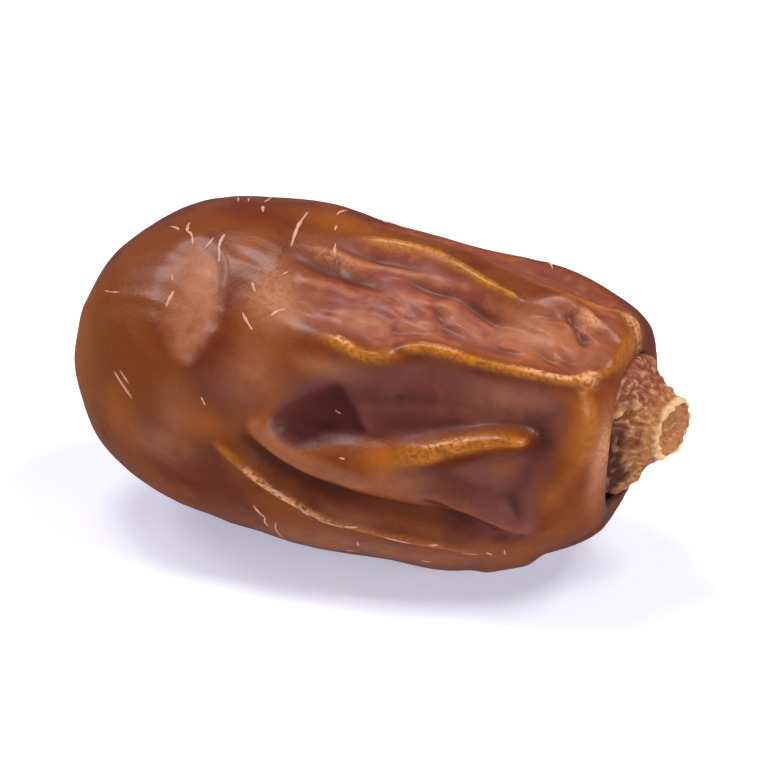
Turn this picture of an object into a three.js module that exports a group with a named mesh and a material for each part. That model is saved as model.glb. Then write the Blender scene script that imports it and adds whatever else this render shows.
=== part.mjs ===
// One dried zahedi date lying on its side, stem end towards +X, in millimetres with +Z up.
// It rests on a small flat spot of its belly. The origin is on the surface that it rests on,
// under the middle of its length.
import * as THREE from "three";

// Driving dimensions.
const TOTAL_LENGTH = 40; // blossom tip to the broken end of the stalk
const FRUIT_LENGTH = 36.4; // blossom tip to the rim round the calyx
const GREATEST_RADIUS = 10.5;
const AXIS_HEIGHT = 10.3; // of the fruit's axis over the surface that it rests on
const BELLY_SAG = 0.55; // the axis bows down towards the stem end and up towards the blossom end
const SLANT = 0.1; // the stem end's upper side lies further along the fruit, by this for each millimetre up
const SLANT_START = 24; // station where the slant begins
const FRONT_LIP = 0.6; // the rim of the stem hollow stands out this much more at the front
const FRONT_LIP_ANGLE = 95;
const FRONT_LIP_START = 32.5;
const SEAT_RADIUS = 4.75; // the hollow at the stem end that holds the calyx
const SEAT_DEPTH = 1.2;
const CALYX_GAP = 0.25; // between the calyx and the floor and wall of its hollow
const REST_BLEND = 0.08; // height over which the belly rounds into the flat spot
const CALYX_LEAN = 0.5; // the stalk's end stands this much higher than the cap
const CALYX_OBLIQUE = 0.2; // how obliquely the stalk is broken off
const CLEFT_ANGLES = [-65, 52, 178]; // between the calyx's three lobes
const CLEFT_WIDTH = 13; // in degrees
const CLEFT_DEPTH = 0.4;

// How finely the two bodies are cut into faces.
const FRUIT_COLUMNS = 96;
const FRUIT_ROWS = 57;
const CALYX_COLUMNS = 54;
const CALYX_ROWS = 17;
const CORNER_REACH = 0.75; // from a corner of the fruit to the skin averaged into it, in millimetres

const DEGREE = Math.PI / 180;
const MM_PER_DEGREE = GREATEST_RADIUS * DEGREE;

// The fruit's outline as shares of its length and of its greatest radius, blossom tip to stem rim.
const OUTLINE = [
  [0, 0],
  [0.012, 0.276],
  [0.049, 0.514],
  [0.104, 0.714],
  [0.187, 0.881],
  [0.283, 0.976],
  [0.393, 1],
  [0.503, 0.995],
  [0.613, 0.981],
  [0.723, 0.952],
  [0.819, 0.9],
  [0.901, 0.819],
  [0.962, 0.705],
  [0.992, 0.59],
  [1, 0.495],
];

// The relief is laid out on the unrolled skin. A place there is a station, in millimetres from
// the blossom tip, and a clock angle in degrees: 0 on top, 90 at the front, 180 underneath.
// A panel that deepens does so from nothing between two stations, so its blossom end has no rim.
const SUNKEN_PANELS = {
  upper_front: {
    depth: 0.85,
    slope: 1.5,
    deepens: [14, 21],
    edge: [
      [15, 46], [17, 47.5], [19.6, 46.5], [22.4, 48.5], [24.2, 45.5], [26, 42], [28.7, 43.5], [31.6, 44.5],
      [34.4, 44], [35.5, 37], [35.8, 25], [35.6, 8], [35, -4], [33, -3], [31.4, 8], [30, 16], [28.5, 15.5],
      [26.9, 12.5], [25.5, 9], [23.6, 4.5], [21.8, 2], [20, 2], [18, 5.5], [16, 11], [14.8, 22], [14.5, 34],
    ],
  },
  lower_front: {
    depth: 1.25,
    slope: 2.1,
    deepens: [15.5, 21],
    edge: [
      [16.4, 80], [17.4, 70], [18.9, 62.5], [20.5, 57.5], [22.7, 57], [25.4, 52.5], [27.7, 52], [29.9, 53],
      [32, 54], [34.4, 57.5], [35.2, 67], [35.5, 80], [34.8, 92], [34.2, 104], [32.8, 118], [30.8, 112.5],
      [28.4, 104.5], [26, 99], [23.6, 92], [21.6, 88.5], [19.6, 90.5], [17.8, 90.5], [16.6, 87],
    ],
  },
  blossom_dome: {
    depth: 0.4,
    slope: 1.3,
    deepens: [4.5, 10.5],
    edge: [
      [6.7, 22], [8.5, 18], [10.2, 22], [11.5, 28], [12.3, 38], [12.4, 46], [12, 55], [11.3, 62], [10, 70],
      [8.3, 76], [7.2, 66], [6.2, 51], [6, 34],
    ],
  },
  ridge_top: {
    depth: 0.7,
    slope: 1.7,
    edge: [
      [17.5, -13], [21.5, -14], [25, -8], [28.4, -1], [31.4, 4], [34.6, -2], [34.9, -17], [31, -27],
      [25, -31], [19.5, -26],
    ],
  },
  back_blossom: {
    depth: 0.8,
    slope: 2.2,
    edge: [
      [5.4, -46], [9.5, -31], [14.5, -27], [18.4, -33], [22, -40], [22.6, -50], [19.6, -61], [14, -66],
      [8.4, -63],
    ],
  },
  back_stem: {
    depth: 1,
    slope: 1.9,
    edge: [
      [20.6, -70], [24.4, -55], [27.5, -41], [32.5, -40], [35.1, -56], [34.8, -77], [31, -90], [25.5, -89],
      [21.6, -80],
    ],
  },
  back_flank: {
    depth: 0.9,
    slope: 2,
    edge: [
      [6.6, -94], [10.5, -80], [16.5, -78], [20.6, -91], [26, -100], [32, -101], [34.4, -112], [31.5, -124],
      [24, -121], [18, -128], [10.6, -121],
    ],
  },
  under_stem: {
    depth: 0.3,
    slope: 2,
    edge: [[28.5, 178], [32, 176], [34.2, 186], [34.4, 204], [32, 220], [28.5, 222], [27.4, 200]],
  },
  under_blossom: {
    depth: 0.25,
    slope: 2.2,
    edge: [[5, 160], [8, 144], [11.4, 142], [12.4, 165], [11.6, 196], [8.6, 208], [5.6, 192]],
  },
};

// Folds of skin that stand up between and inside the panels. Their two widths are at their two
// ends, and so are their fades: the share of the fold over which it rises from nothing.
const FOLDS = {
  between_front_panels: {
    height: 0.45,
    widths: [0.75, 0.5],
    fades: [0.38, 0],
    line: [
      [15.5, 54], [18.6, 51], [20, 51], [21.1, 52], [22.8, 53], [24.4, 50], [25.6, 46.5], [27, 46.5],
      [28.6, 48], [30.5, 48.5], [33.3, 49], [35.1, 48.5], [36, 39], [36.2, 24],
    ],
  },
  shoulder: {
    height: 0.15,
    widths: [0.5, 0.55],
    fades: [0, 0.3],
    line: [[35.3, 47], [35.7, 56], [35.9, 68], [35.9, 82], [35.5, 96]],
  },
  top: {
    height: 0.4,
    widths: [0.8, 0.45],
    fades: [0.45, 0],
    line: [[15.1, 7], [18.2, 1], [20, -2], [21.8, -2], [23.6, 0], [26, 6], [27.8, 10.5], [29.3, 14.5]],
  },
  upper_crest: {
    height: 0.3,
    widths: [0.5, 0.35],
    fades: [0.3, 0.3],
    line: [
      [15.1, 18], [16.4, 15.5], [18.1, 13.5], [19.6, 13.5], [21, 12], [23.5, 12], [25, 14], [26.6, 15.5],
      [28.9, 17.5],
    ],
  },
  middle_crest: {
    height: 0.22,
    widths: [0.55, 0.4],
    fades: [0.3, 0.3],
    line: [[16.2, 31], [17.3, 29.5], [19, 28], [20.1, 28.5], [21.6, 26]],
  },
  long_swell: { height: 0.4, widths: [1.2, 1.2], fades: [0, 0], line: [[20.3, 40], [22.2, 38.5]] },
  short_swell: { height: 0.35, widths: [0.7, 0.6], fades: [0, 0], line: [[23.9, 36.5], [25.3, 34.5]] },
  slanting_swell: {
    height: 0.35,
    widths: [0.55, 0.8],
    fades: [0.4, 0],
    line: [[24.8, 22.5], [26.2, 26.5], [28, 33]],
  },
  stem_swell: { height: 0.35, widths: [0.6, 0.6], fades: [0, 0], line: [[33.6, 5], [34.5, 10]] },
  tongue: {
    height: 1.2,
    widths: [1.5, 0.6],
    fades: [0.45, 0],
    line: [
      [21, 92], [23.2, 89], [25.2, 85.5], [27, 82.5], [28.4, 79.5], [29.8, 77], [31.2, 75.5], [32.5, 76],
    ],
  },
  channel_fold: {
    height: 0.35,
    widths: [0.9, 0.9],
    fades: [0.2, 0.2],
    line: [[15.5, 78], [16, 83], [17, 89], [18.6, 92.5], [20.6, 94], [23, 95], [25.4, 96]],
  },
  channel_lip: {
    height: 0.4,
    widths: [0.5, 0.4],
    fades: [0.1, 0.2],
    line: [
      [12.4, 91], [14.4, 97.5], [16.2, 104], [18, 109], [20.2, 115], [23.3, 117.5], [27, 121.5], [28.9, 126],
      [30.7, 134],
    ],
  },
  stem_belly: {
    height: 0.55,
    widths: [2.2, 2.2],
    fades: [0.3, 0.3],
    line: [[28.5, 142], [31, 148], [33.5, 152]],
  },
  back_tongue: {
    height: 0.95,
    widths: [1.2, 0.6],
    fades: [0.25, 0],
    line: [[22, -74], [25, -72], [28, -64], [32.6, -58]],
  },
  back_seam: {
    height: 0.45,
    widths: [0.8, 0.55],
    fades: [0.12, 0.12],
    line: [[4.6, -68], [9, -72], [14, -72], [18.5, -74], [21.4, -86], [27.6, -95], [33, -94]],
  },
  flank_tongue: {
    height: 0.75,
    widths: [1.1, 0.6],
    fades: [0.25, 0.1],
    line: [[8.6, -104], [13, -99], [18, -104], [22, -110]],
  },
  under_seam: {
    height: 0.25,
    widths: [0.8, 0.6],
    fades: [0.12, 0.12],
    line: [[10, -132], [18, -137], [26, -134], [33, -130]],
  },
};

// Creases where the skin has tucked in, laid out like the folds.
const CREASES = {
  channel: {
    depth: 0.75,
    widths: [0.7, 1],
    fades: [0.25, 0.2],
    line: [
      [14.5, 84], [15.2, 90], [16.6, 96], [18.6, 101], [21, 104], [24, 107], [27.3, 110], [29.5, 116],
      [31.6, 126],
    ],
  },
  upper_valley: {
    depth: 0.35,
    widths: [0.55, 0.7],
    fades: [0.3, 0.3],
    line: [[14.4, 23], [16.3, 21.5], [18.6, 21.5], [21, 20], [22.6, 19]],
  },
  beside_slanting_swell: {
    depth: 0.35,
    widths: [0.35, 0.4],
    fades: [0.3, 0.3],
    line: [[25.8, 18], [27.6, 21], [29.1, 26], [29.8, 32]],
  },
  by_stem: {
    depth: 0.35,
    widths: [0.4, 0.4],
    fades: [0.3, 0.3],
    line: [[32.3, 6], [33.4, 14], [34.2, 20], [34.4, 27]],
  },
  back: {
    depth: 0.5,
    widths: [0.6, 0.45],
    fades: [0.12, 0.12],
    line: [[17, -84], [20.6, -98], [25, -107], [30.5, -112]],
  },
};

// Wrinkles that run along the floor of each panel, in millimetres.
const WRINKLE_PITCH = 2.6;
const WRINKLE_HEIGHT = 0.08;

// Straight share of the way from one value to another, held at both ends.
function share(value, from, to) {
  return THREE.MathUtils.clamp((value - from) / (to - from), 0, 1);
}

// A clock angle brought to within half a turn of another.
function near(angle, other) {
  return other + ((((angle - other) % 360) + 540) % 360) - 180;
}

// The points of a smooth line through places on the skin, unrolled to millimetres.
function unrolled(places, closed, steps) {
  const knots = places.map(([station, angle]) => new THREE.Vector3(station, angle * MM_PER_DEGREE, 0));
  return new THREE.CatmullRomCurve3(knots, closed, "centripetal").getPoints(steps);
}

// How far a spot is from a line of points, and how far along the line its nearest point is.
function nearest(points, x, y) {
  let best = { distance: Infinity, along: 0 };
  for (let i = 0; i + 1 < points.length; i++) {
    const from = points[i];
    const stepX = points[i + 1].x - from.x;
    const stepY = points[i + 1].y - from.y;
    const lengthSquared = stepX * stepX + stepY * stepY || 1;
    const reach = THREE.MathUtils.clamp(((x - from.x) * stepX + (y - from.y) * stepY) / lengthSquared, 0, 1);
    const distance = Math.hypot(x - from.x - reach * stepX, y - from.y - reach * stepY);
    if (distance < best.distance) best = { distance, along: (i + reach) / (points.length - 1) };
  }
  return best;
}

// Whether a spot lies inside a closed line of points.
function inside(points, x, y) {
  let within = false;
  for (let i = 0; i + 1 < points.length; i++) {
    const a = points[i];
    const b = points[i + 1];
    if (a.y > y !== b.y > y && x < a.x + ((y - a.y) / (b.y - a.y)) * (b.x - a.x)) within = !within;
  }
  return within;
}

const RIM_ROUNDING = 0.35; // how far outside a panel's edge its rim starts to bend

// A panel sinks smoothly over its rim and is flat in its middle.
function panelRelief({ depth, slope, deepens, points, middle }, station, angle) {
  const y = near(angle, middle) * MM_PER_DEGREE;
  const distance = nearest(points, station, y).distance;
  const signed = inside(points, station, y) ? distance : -distance;
  const rim = THREE.MathUtils.smoothstep(signed, -RIM_ROUNDING, slope);
  const fall = rim * THREE.MathUtils.smoothstep(station, ...deepens);
  const across = (y - 0.12 * station + 0.35 * Math.sin(0.6 * station)) / WRINKLE_PITCH;
  return fall * (WRINKLE_HEIGHT * Math.sin(2 * Math.PI * across) - depth);
}

// A fold or crease has a bell-shaped section. An end that doesn't fade is round.
function strokeRelief({ size, widths, fades, points, middle }, station, angle) {
  const { distance, along } = nearest(points, station, near(angle, middle) * MM_PER_DEGREE);
  const width = THREE.MathUtils.lerp(widths[0], widths[1], along);
  const rising = fades[0] ? THREE.MathUtils.smoothstep(along, 0, fades[0]) : 1;
  const sinking = fades[1] ? THREE.MathUtils.smoothstep(1 - along, 0, fades[1]) : 1;
  return size * rising * sinking * Math.exp(-((distance / width) ** 2));
}

const PANEL_STEPS = 90;
const STROKE_STEPS = 48;

function middleAngle(places) {
  const angles = places.map((place) => place[1]);
  return (Math.min(...angles) + Math.max(...angles)) / 2;
}

const panels = Object.values(SUNKEN_PANELS).map(({ depth, slope, deepens = [-1, 0], edge }) => ({
  depth,
  slope,
  deepens,
  points: unrolled(edge, true, PANEL_STEPS),
  middle: middleAngle(edge),
}));
const strokes = [
  ...Object.values(FOLDS).map((fold) => ({ ...fold, size: fold.height })),
  ...Object.values(CREASES).map((crease) => ({ ...crease, size: -crease.depth })),
].map(({ size, widths, fades, line }) => ({
  size,
  widths,
  fades,
  points: unrolled(line, false, STROKE_STEPS),
  middle: middleAngle(line),
}));

// Small pleats that gather towards each end, and a slow unevenness over the whole skin.
function pleats(station, angle) {
  const turn = angle * DEGREE;
  const stem = share(station, 0.86 * FRUIT_LENGTH, 0.985 * FRUIT_LENGTH);
  const blossom = share(station, 0.1 * FRUIT_LENGTH, 0.02 * FRUIT_LENGTH);
  const gathered = 0.07 * stem * Math.sin(13 * turn + 2 * Math.sin(3 * turn));
  const puckered = 0.1 * blossom * Math.sin(9 * turn + 1.5 * Math.sin(2 * turn));
  const uneven = 0.09 * Math.sin(0.55 * station + 2 * turn) + 0.07 * Math.sin(0.8 * station - 3 * turn + 1);
  return gathered + puckered + uneven;
}

// How far the skin stands out of the plain outline at a place.
function skinRelief(station, angle) {
  const sunk = panels.map((panel) => panelRelief(panel, station, angle));
  const drawn = strokes.map((stroke) => strokeRelief(stroke, station, angle));
  return [...sunk, ...drawn].reduce((sum, one) => sum + one, pleats(station, angle));
}

// The same, averaged over the skin that one corner of the faceted body stands for.
function cornerRelief(station, angle) {
  let sum = 0;
  for (const step of [-1, 0, 1]) {
    for (const turn of [-1, 0, 1]) {
      const weight = (2 - Math.abs(step)) * (2 - Math.abs(turn));
      const spot = [station + step * CORNER_REACH, angle + (turn * CORNER_REACH) / MM_PER_DEGREE];
      sum += weight * skinRelief(...spot);
    }
  }
  const ends = share(station, 0, 0.06 * FRUIT_LENGTH) * share(station, FRUIT_LENGTH, 0.985 * FRUIT_LENGTH);
  return (ends * sum) / 16;
}

// The bowed axis's height over the straight one.
function axisRise(station) {
  const offset = station / FRUIT_LENGTH - 0.5;
  return -BELLY_SAG * Math.sin(2 * Math.PI * offset + 0.3) * (1 - (2 * offset) ** 4);
}

// How far points move along the fruit, by their height over the axis, at its slanted stem end.
function slanted(station, height) {
  return SLANT * height * THREE.MathUtils.smoothstep(station, SLANT_START, FRUIT_LENGTH);
}

// How much further the skin of the stem end reaches at the front.
function frontLip(station, angle) {
  const facing = Math.max(Math.cos((angle - FRONT_LIP_ANGLE) * DEGREE), 0);
  return FRONT_LIP * facing * facing * THREE.MathUtils.smoothstep(station, FRONT_LIP_START, FRUIT_LENGTH);
}

// Rounds a height into the surface that the fruit rests on, and holds it there below that.
function rested(height) {
  const closeness = Math.max(REST_BLEND - Math.abs(height), 0) / REST_BLEND;
  return Math.max(height, 0) + (closeness * closeness * REST_BLEND) / 4;
}

// A solid of revolution whose points are moved by reshape(station, radius, angle, row).
function turnedBody(profile, columns, reshape) {
  const geometry = new THREE.LatheGeometry(profile, columns);
  const position = geometry.getAttribute("position");
  for (let i = 0; i < position.count; i++) {
    const row = i % profile.length;
    const column = Math.floor(i / profile.length) % columns;
    const place = reshape(profile[row].y, profile[row].x, (column * 360) / columns, row);
    const turn = place.angle * DEGREE;
    const side = -Math.sin(turn) * place.radius;
    const height = Math.cos(turn) * place.radius + (place.lean ?? 0);
    const along = place.station + (place.oblique ?? 0) * side + slanted(profile[row].y, height);
    position.setXYZ(i, along - TOTAL_LENGTH / 2, side, height + AXIS_HEIGHT + place.rise);
  }
  geometry.computeVertexNormals();
  return geometry;
}

function fruitGeometry() {
  const knots = OUTLINE.map(
    ([length, radius]) => new THREE.Vector2(radius * GREATEST_RADIUS, length * FRUIT_LENGTH),
  );
  const skin = new THREE.SplineCurve(knots).getSpacedPoints(FRUIT_ROWS);
  skin[0].x = 0;
  const seatFloor = FRUIT_LENGTH - SEAT_DEPTH;
  const seat = [
    new THREE.Vector2(SEAT_RADIUS + 0.15, FRUIT_LENGTH - 0.25),
    new THREE.Vector2(SEAT_RADIUS, FRUIT_LENGTH - 0.6),
    new THREE.Vector2(SEAT_RADIUS, seatFloor),
    new THREE.Vector2(SEAT_RADIUS / 2, seatFloor),
    new THREE.Vector2(0, seatFloor),
  ];
  const profile = [...skin, ...seat];
  const geometry = turnedBody(profile, FRUIT_COLUMNS, (station, radius, angle, row) => {
    const rise = axisRise(station);
    const lip = frontLip(station, angle);
    if (row === 0) return { station, radius, angle, rise };
    if (row >= skin.length) {
      return { station: station + lip * share(station, seatFloor, FRUIT_LENGTH - 0.25), radius, angle, rise };
    }
    const before = profile[row - 1];
    const after = profile[row + 1];
    const along = after.y - before.y;
    const out = after.x - before.x;
    const stretch = cornerRelief(station, angle) / Math.hypot(along, out);
    return { station: station + lip - stretch * out, radius: radius + stretch * along, angle, rise };
  });
  const position = geometry.getAttribute("position");
  for (let i = 0; i < position.count; i++) position.setZ(i, rested(position.getZ(i)));
  return geometry;
}

// The dry cap that the fruit hung by: a three-lobed cup, and the broken stalk flaring out of it.
function calyxGeometry() {
  const base = FRUIT_LENGTH - SEAT_DEPTH + CALYX_GAP;
  const cup = SEAT_RADIUS - CALYX_GAP;
  const knots = [
    [cup, base],
    [cup, base + 0.6],
    [cup, FRUIT_LENGTH + 0.1],
    [4.2, FRUIT_LENGTH + 0.55],
    [3.6, FRUIT_LENGTH + 1.05],
    [2.85, FRUIT_LENGTH + 1.7],
    [2.25, FRUIT_LENGTH + 2.3],
    [2, FRUIT_LENGTH + 2.75],
    [1.95, FRUIT_LENGTH + 3.03],
    [1.72, FRUIT_LENGTH + 3.15],
    [1.4, FRUIT_LENGTH + 2.95],
  ].map(([radius, station]) => new THREE.Vector2(radius, station));
  const side = new THREE.SplineCurve(knots).getSpacedPoints(CALYX_ROWS);
  const end = new THREE.Vector2(0, FRUIT_LENGTH + 2.6);
  const profile = [new THREE.Vector2(0, base), ...side, end];
  return turnedBody(profile, CALYX_COLUMNS, (station, radius, angle) => {
    const beyond = station - FRUIT_LENGTH;
    const free = THREE.MathUtils.smoothstep(beyond, -0.1, 0.5);
    const stalk = THREE.MathUtils.smoothstep(beyond, 1.5, 2.3);
    const turns = CLEFT_ANGLES.map((cleft) => (near(angle, cleft) - cleft) / CLEFT_WIDTH);
    const cleft = turns.reduce((sum, one) => sum + Math.exp(-one * one), 0) * (1 - 0.6 * stalk);
    const ribs = 0.06 * Math.sin(7 * angle * DEGREE + 1.3 * Math.sin(2 * angle * DEGREE));
    const push = radius > 1 ? free * (ribs - CLEFT_DEPTH * cleft) : 0;
    return {
      station,
      radius: radius + push,
      angle,
      rise: axisRise(FRUIT_LENGTH),
      lean: CALYX_LEAN * THREE.MathUtils.smoothstep(beyond, 0.2, 3.15),
      oblique: CALYX_OBLIQUE * THREE.MathUtils.smoothstep(beyond, 1.2, 3.15),
    };
  });
}

const skinMaterial = new THREE.MeshStandardMaterial({ color: 0x9c5420, roughness: 0.34, metalness: 0 });
const strawMaterial = new THREE.MeshStandardMaterial({ color: 0xc79a58, roughness: 0.75, metalness: 0 });

function namedMesh(name, geometry, material) {
  const mesh = new THREE.Mesh(geometry, material);
  mesh.name = name;
  return mesh;
}

const date = new THREE.Group();
date.add(namedMesh("fruit", fruitGeometry(), skinMaterial));
date.add(namedMesh("calyx", calyxGeometry(), strawMaterial));

export default date;
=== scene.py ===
"""The looks of one dried zahedi date: its wrinkled skin, the pale cracks in it, and its dry calyx.

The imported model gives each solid's size and place. Values here are in millimetres and degrees
unless a name says otherwise, and every finished mesh is in metres in the model's own frame.
"""

from __future__ import annotations

import logging
import math
import random
from dataclasses import dataclass
from enum import Enum
from typing import NamedTuple, Union

import bmesh
import bpy
import numpy as np
from mathutils import Matrix, Vector, noise
from mathutils.bvhtree import BVHTree


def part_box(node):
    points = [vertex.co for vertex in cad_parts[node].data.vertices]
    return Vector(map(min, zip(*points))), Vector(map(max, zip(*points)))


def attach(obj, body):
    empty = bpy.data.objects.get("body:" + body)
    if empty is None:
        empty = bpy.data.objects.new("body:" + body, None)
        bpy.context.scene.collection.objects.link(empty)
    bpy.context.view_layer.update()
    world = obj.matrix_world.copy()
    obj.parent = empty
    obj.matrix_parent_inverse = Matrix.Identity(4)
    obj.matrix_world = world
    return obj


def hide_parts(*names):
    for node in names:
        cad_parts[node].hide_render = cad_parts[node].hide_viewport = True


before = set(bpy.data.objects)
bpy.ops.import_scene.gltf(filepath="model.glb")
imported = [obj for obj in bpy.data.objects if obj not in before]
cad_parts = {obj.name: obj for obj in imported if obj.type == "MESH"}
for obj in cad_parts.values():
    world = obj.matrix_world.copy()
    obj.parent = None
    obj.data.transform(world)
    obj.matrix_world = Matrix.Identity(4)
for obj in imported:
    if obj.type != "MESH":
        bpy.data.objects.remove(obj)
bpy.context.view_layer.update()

LOG = logging.getLogger("date")
MM = 0.001
BODY = "root"

Array = np.ndarray
Input = Union[bpy.types.NodeSocket, float, tuple]


class Slot(Enum):
    """The record's material slots."""

    SKIN = "skin"
    CALYX = "calyx"


class Tint(Enum):
    """The masks that the skin's material reads from its mesh."""

    GOLD = "gold"
    PLUM = "plum"
    WINE = "wine"
    ROSE = "rose"
    MAUVE = "mauve"
    # Crease tint: painted shade, a dark colour laid in creases, valleys, hollows and the stem hollow.
    CREASE = "crease"
    AMBER = "amber"
    # Milky tint: partly the skin's own waxy bloom, partly painted sheen, which is soft reflections of the
    # room on facets, swell tops, the rim and the underside.
    BLOOM_AND_SHEEN = "bloom_and_sheen"
    # Pale tint: mostly painted highlights, thin glints of light along ridge tops, the tongue, the lip and the
    # shoulders, and partly pale dry skin.
    PALE_AND_GLINT = "pale"
    SCAR = "scar"


class Wear(Enum):
    """The masks that the calyx's material reads from its mesh."""

    LOBE = "lobe"
    CRUMB = "crumb"
    # Crevice: painted shade in the hollows between the calyx's crumbs.
    CREVICE_SHADE = "crevice_shade"
    RIM = "rim"
    HOLLOW = "hollow"
    # Root: painted shade at the foot of the cup, on the side where it has shrunk from the fruit.
    ROOT = "root"


class Spot(NamedTuple):
    """A place on the unrolled skin: millimetres from the blossom tip, and a clock angle.

    The angle is 0 on top, 90 at the front, 180 underneath and -90 at the back.
    """

    station: float
    angle: float


@dataclass(frozen=True)
class FruitSizes:
    """The plain body that all relief is laid on.

    Its start, the place of its blossom tip along X, comes from the frame. The outline gives stations
    as shares of its length and radii as shares of the greatest one.
    """

    start: float
    length: float = 36.4
    greatest_radius: float = 10.5
    axis_height: float = 10.3
    belly_sag: float = 0.55
    sag_phase: float = 0.3
    slant: float = 0.1
    slant_start: float = 24
    front_lip: float = 0.6
    front_lip_angle: float = 95
    front_lip_start: float = 32.5
    seat_radius: float = 4.75
    seat_depth: float = 1.2
    rest_blend: float = 0.08
    outline: tuple[tuple[float, float], ...] = (
        (0, 0),
        (0.012, 0.276),
        (0.049, 0.514),
        (0.104, 0.714),
        (0.187, 0.881),
        (0.283, 0.976),
        (0.393, 1),
        (0.503, 0.995),
        (0.613, 0.981),
        (0.723, 0.952),
        (0.819, 0.9),
        (0.901, 0.819),
        (0.962, 0.705),
        (0.992, 0.59),
        (1, 0.495),
    )

    def rise(self, station: Array) -> Array:
        """Height of the bowed axis over the straight one."""
        offset = station / self.length - 0.5
        return -self.belly_sag * np.sin(2 * math.pi * offset + self.sag_phase) * (1 - (2 * offset) ** 4)

    def slanted(self, station: Array, height: Array) -> Array:
        """How far points move along the fruit, by their height over the axis, at its slanted stem end."""
        return self.slant * height * smooth_share(station, self.slant_start, self.length)

    def lip(self, station: Array, angle: Array) -> Array:
        """How much further the stem end's rim reaches at the front."""
        facing = np.maximum(np.cos(np.radians(angle - self.front_lip_angle)), 0)
        return self.front_lip * facing**2 * smooth_share(station, self.front_lip_start, self.length)

    def rested(self, height: Array) -> Array:
        """Round heights into the surface that the fruit rests on, and hold them there."""
        closeness = np.maximum(self.rest_blend - np.abs(height), 0) / self.rest_blend
        return np.maximum(height, 0) + closeness**2 * self.rest_blend / 4


GREATEST_RADIUS = FruitSizes.greatest_radius
MM_PER_DEGREE = math.radians(GREATEST_RADIUS)


def share(value: Array, start: float, end: float) -> Array:
    """Straight share of the way from one value to another, held at both ends."""
    return np.clip((value - start) / (end - start), 0, 1)


def smooth_share(value: Array, start: float, end: float) -> Array:
    """Eased share of the way from one value to another, held at both ends."""
    part = share(value, start, end)
    return part * part * (3 - 2 * part)


def degrees_from(angle: Array, middle: float) -> Array:
    """Angles counted from a middle one, between -180 and 180."""
    return (angle - middle + 180) % 360 - 180


def smooth_line(knots: Array, closed: bool, steps: int) -> Array:
    """Lay a centripetal Catmull-Rom curve through points.

    Args:
        knots: the points, one in each row.
        closed: whether the curve returns to its first point.
        steps: how many stretches the curve is cut into.

    Returns:
        The curve's points, one in each row.
    """
    if closed:
        ring = np.vstack([knots[-1], knots, knots[:2]])
    else:
        ring = np.vstack([2 * knots[0] - knots[1], knots, 2 * knots[-1] - knots[-2]])
    gaps = np.sqrt(np.maximum(np.linalg.norm(np.diff(ring, axis=0), axis=1), 1e-6))
    places = np.linspace(0, len(ring) - 3, steps + 1)
    points = []
    for place in places:
        index = min(int(place), len(ring) - 4)
        part = place - index
        before, start, end, after = ring[index : index + 4]
        gap_before, gap, gap_after = gaps[index : index + 3]
        leaving = (start - before) / gap_before - (end - before) / (gap_before + gap) + (end - start) / gap
        arriving = (end - start) / gap - (after - start) / (gap + gap_after) + (after - end) / gap_after
        leaving, arriving = leaving * gap, arriving * gap
        cubic = 2 * start - 2 * end + leaving + arriving
        square = -3 * start + 3 * end - 2 * leaving - arriving
        points.append(start + part * (leaving + part * (square + part * cubic)))
    return np.array(points)


class SkinLine:
    """A smooth line on the unrolled skin, open or closed."""

    def __init__(self, places: tuple[tuple[float, float], ...], closed: bool) -> None:
        """Unroll the places and lay the line through them.

        Args:
            places: stations and clock angles, in order.
            closed: whether the line returns to its first place.
        """
        angles = [angle for _, angle in places]
        self.middle = (min(angles) + max(angles)) / 2
        knots = np.array([(station, angle * MM_PER_DEGREE) for station, angle in places])
        self.points = smooth_line(knots, closed, 6 * len(knots))

    def unroll(self, station: Array, angle: Array) -> Array:
        """Unroll spots round the side of the fruit that the line is on."""
        near = self.middle + (angle - self.middle + 180) % 360 - 180
        return np.column_stack([station, near * MM_PER_DEGREE])

    def nearest(self, spots: Array, reach: float) -> tuple[Array, Array]:
        """Find how far spots are from the line.

        Args:
            spots: unrolled spots, one in each row.
            reach: spots further than this outside the line's box are left out.

        Returns:
            Each spot's distance, and how far along the line its nearest point is, from 0 to 1.
        """
        distance = np.full(len(spots), np.inf)
        along = np.zeros(len(spots))
        low, high = self.points.min(axis=0) - reach, self.points.max(axis=0) + reach
        close = np.flatnonzero(np.all((spots > low) & (spots < high), axis=1))
        chosen, best, best_along = spots[close], np.full(len(close), np.inf), np.zeros(len(close))
        for index, (start, end) in enumerate(zip(self.points[:-1], self.points[1:])):
            step = end - start
            part = np.clip((chosen - start) @ step / max(step @ step, 1e-12), 0, 1)
            gap = np.linalg.norm(chosen - start - part[:, None] * step, axis=1)
            closer = gap < best
            best[closer] = gap[closer]
            best_along[closer] = (index + part[closer]) / (len(self.points) - 1)
        distance[close], along[close] = best, best_along
        return distance, along

    def holds(self, spots: Array) -> Array:
        """Tell which spots lie inside the closed line.

        Args:
            spots: unrolled spots, one in each row.

        Returns:
            True for each spot inside it.
        """
        inside = np.zeros(len(spots), bool)
        x, y = spots.T
        for (ax, ay), (bx, by) in zip(self.points[:-1], self.points[1:]):
            if ay != by:
                inside ^= ((ay > y) != (by > y)) & (x < ax + (y - ay) / (by - ay) * (bx - ax))
        return inside


@dataclass(frozen=True)
class Panel:
    """A patch of skin that has sunk in, with a rounded rim and a flat middle.

    It deepens from nothing between two stations, so that it has no rim at its blossom end. Its fall
    starts a rim's width outside its edge and ends a slope's width inside it, and its tint comes in
    between the two distances of the tint's edge.
    """

    depth: float
    slope: float
    edge: tuple[tuple[float, float], ...]
    tint: Tint
    strength: float = 1
    wrinkle: float = 0.08
    tint_edge: tuple[float, float] = (-0.2, 0.6)
    deepens: tuple[float, float] = (-1, 0)
    rim: float = 0.35


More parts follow.
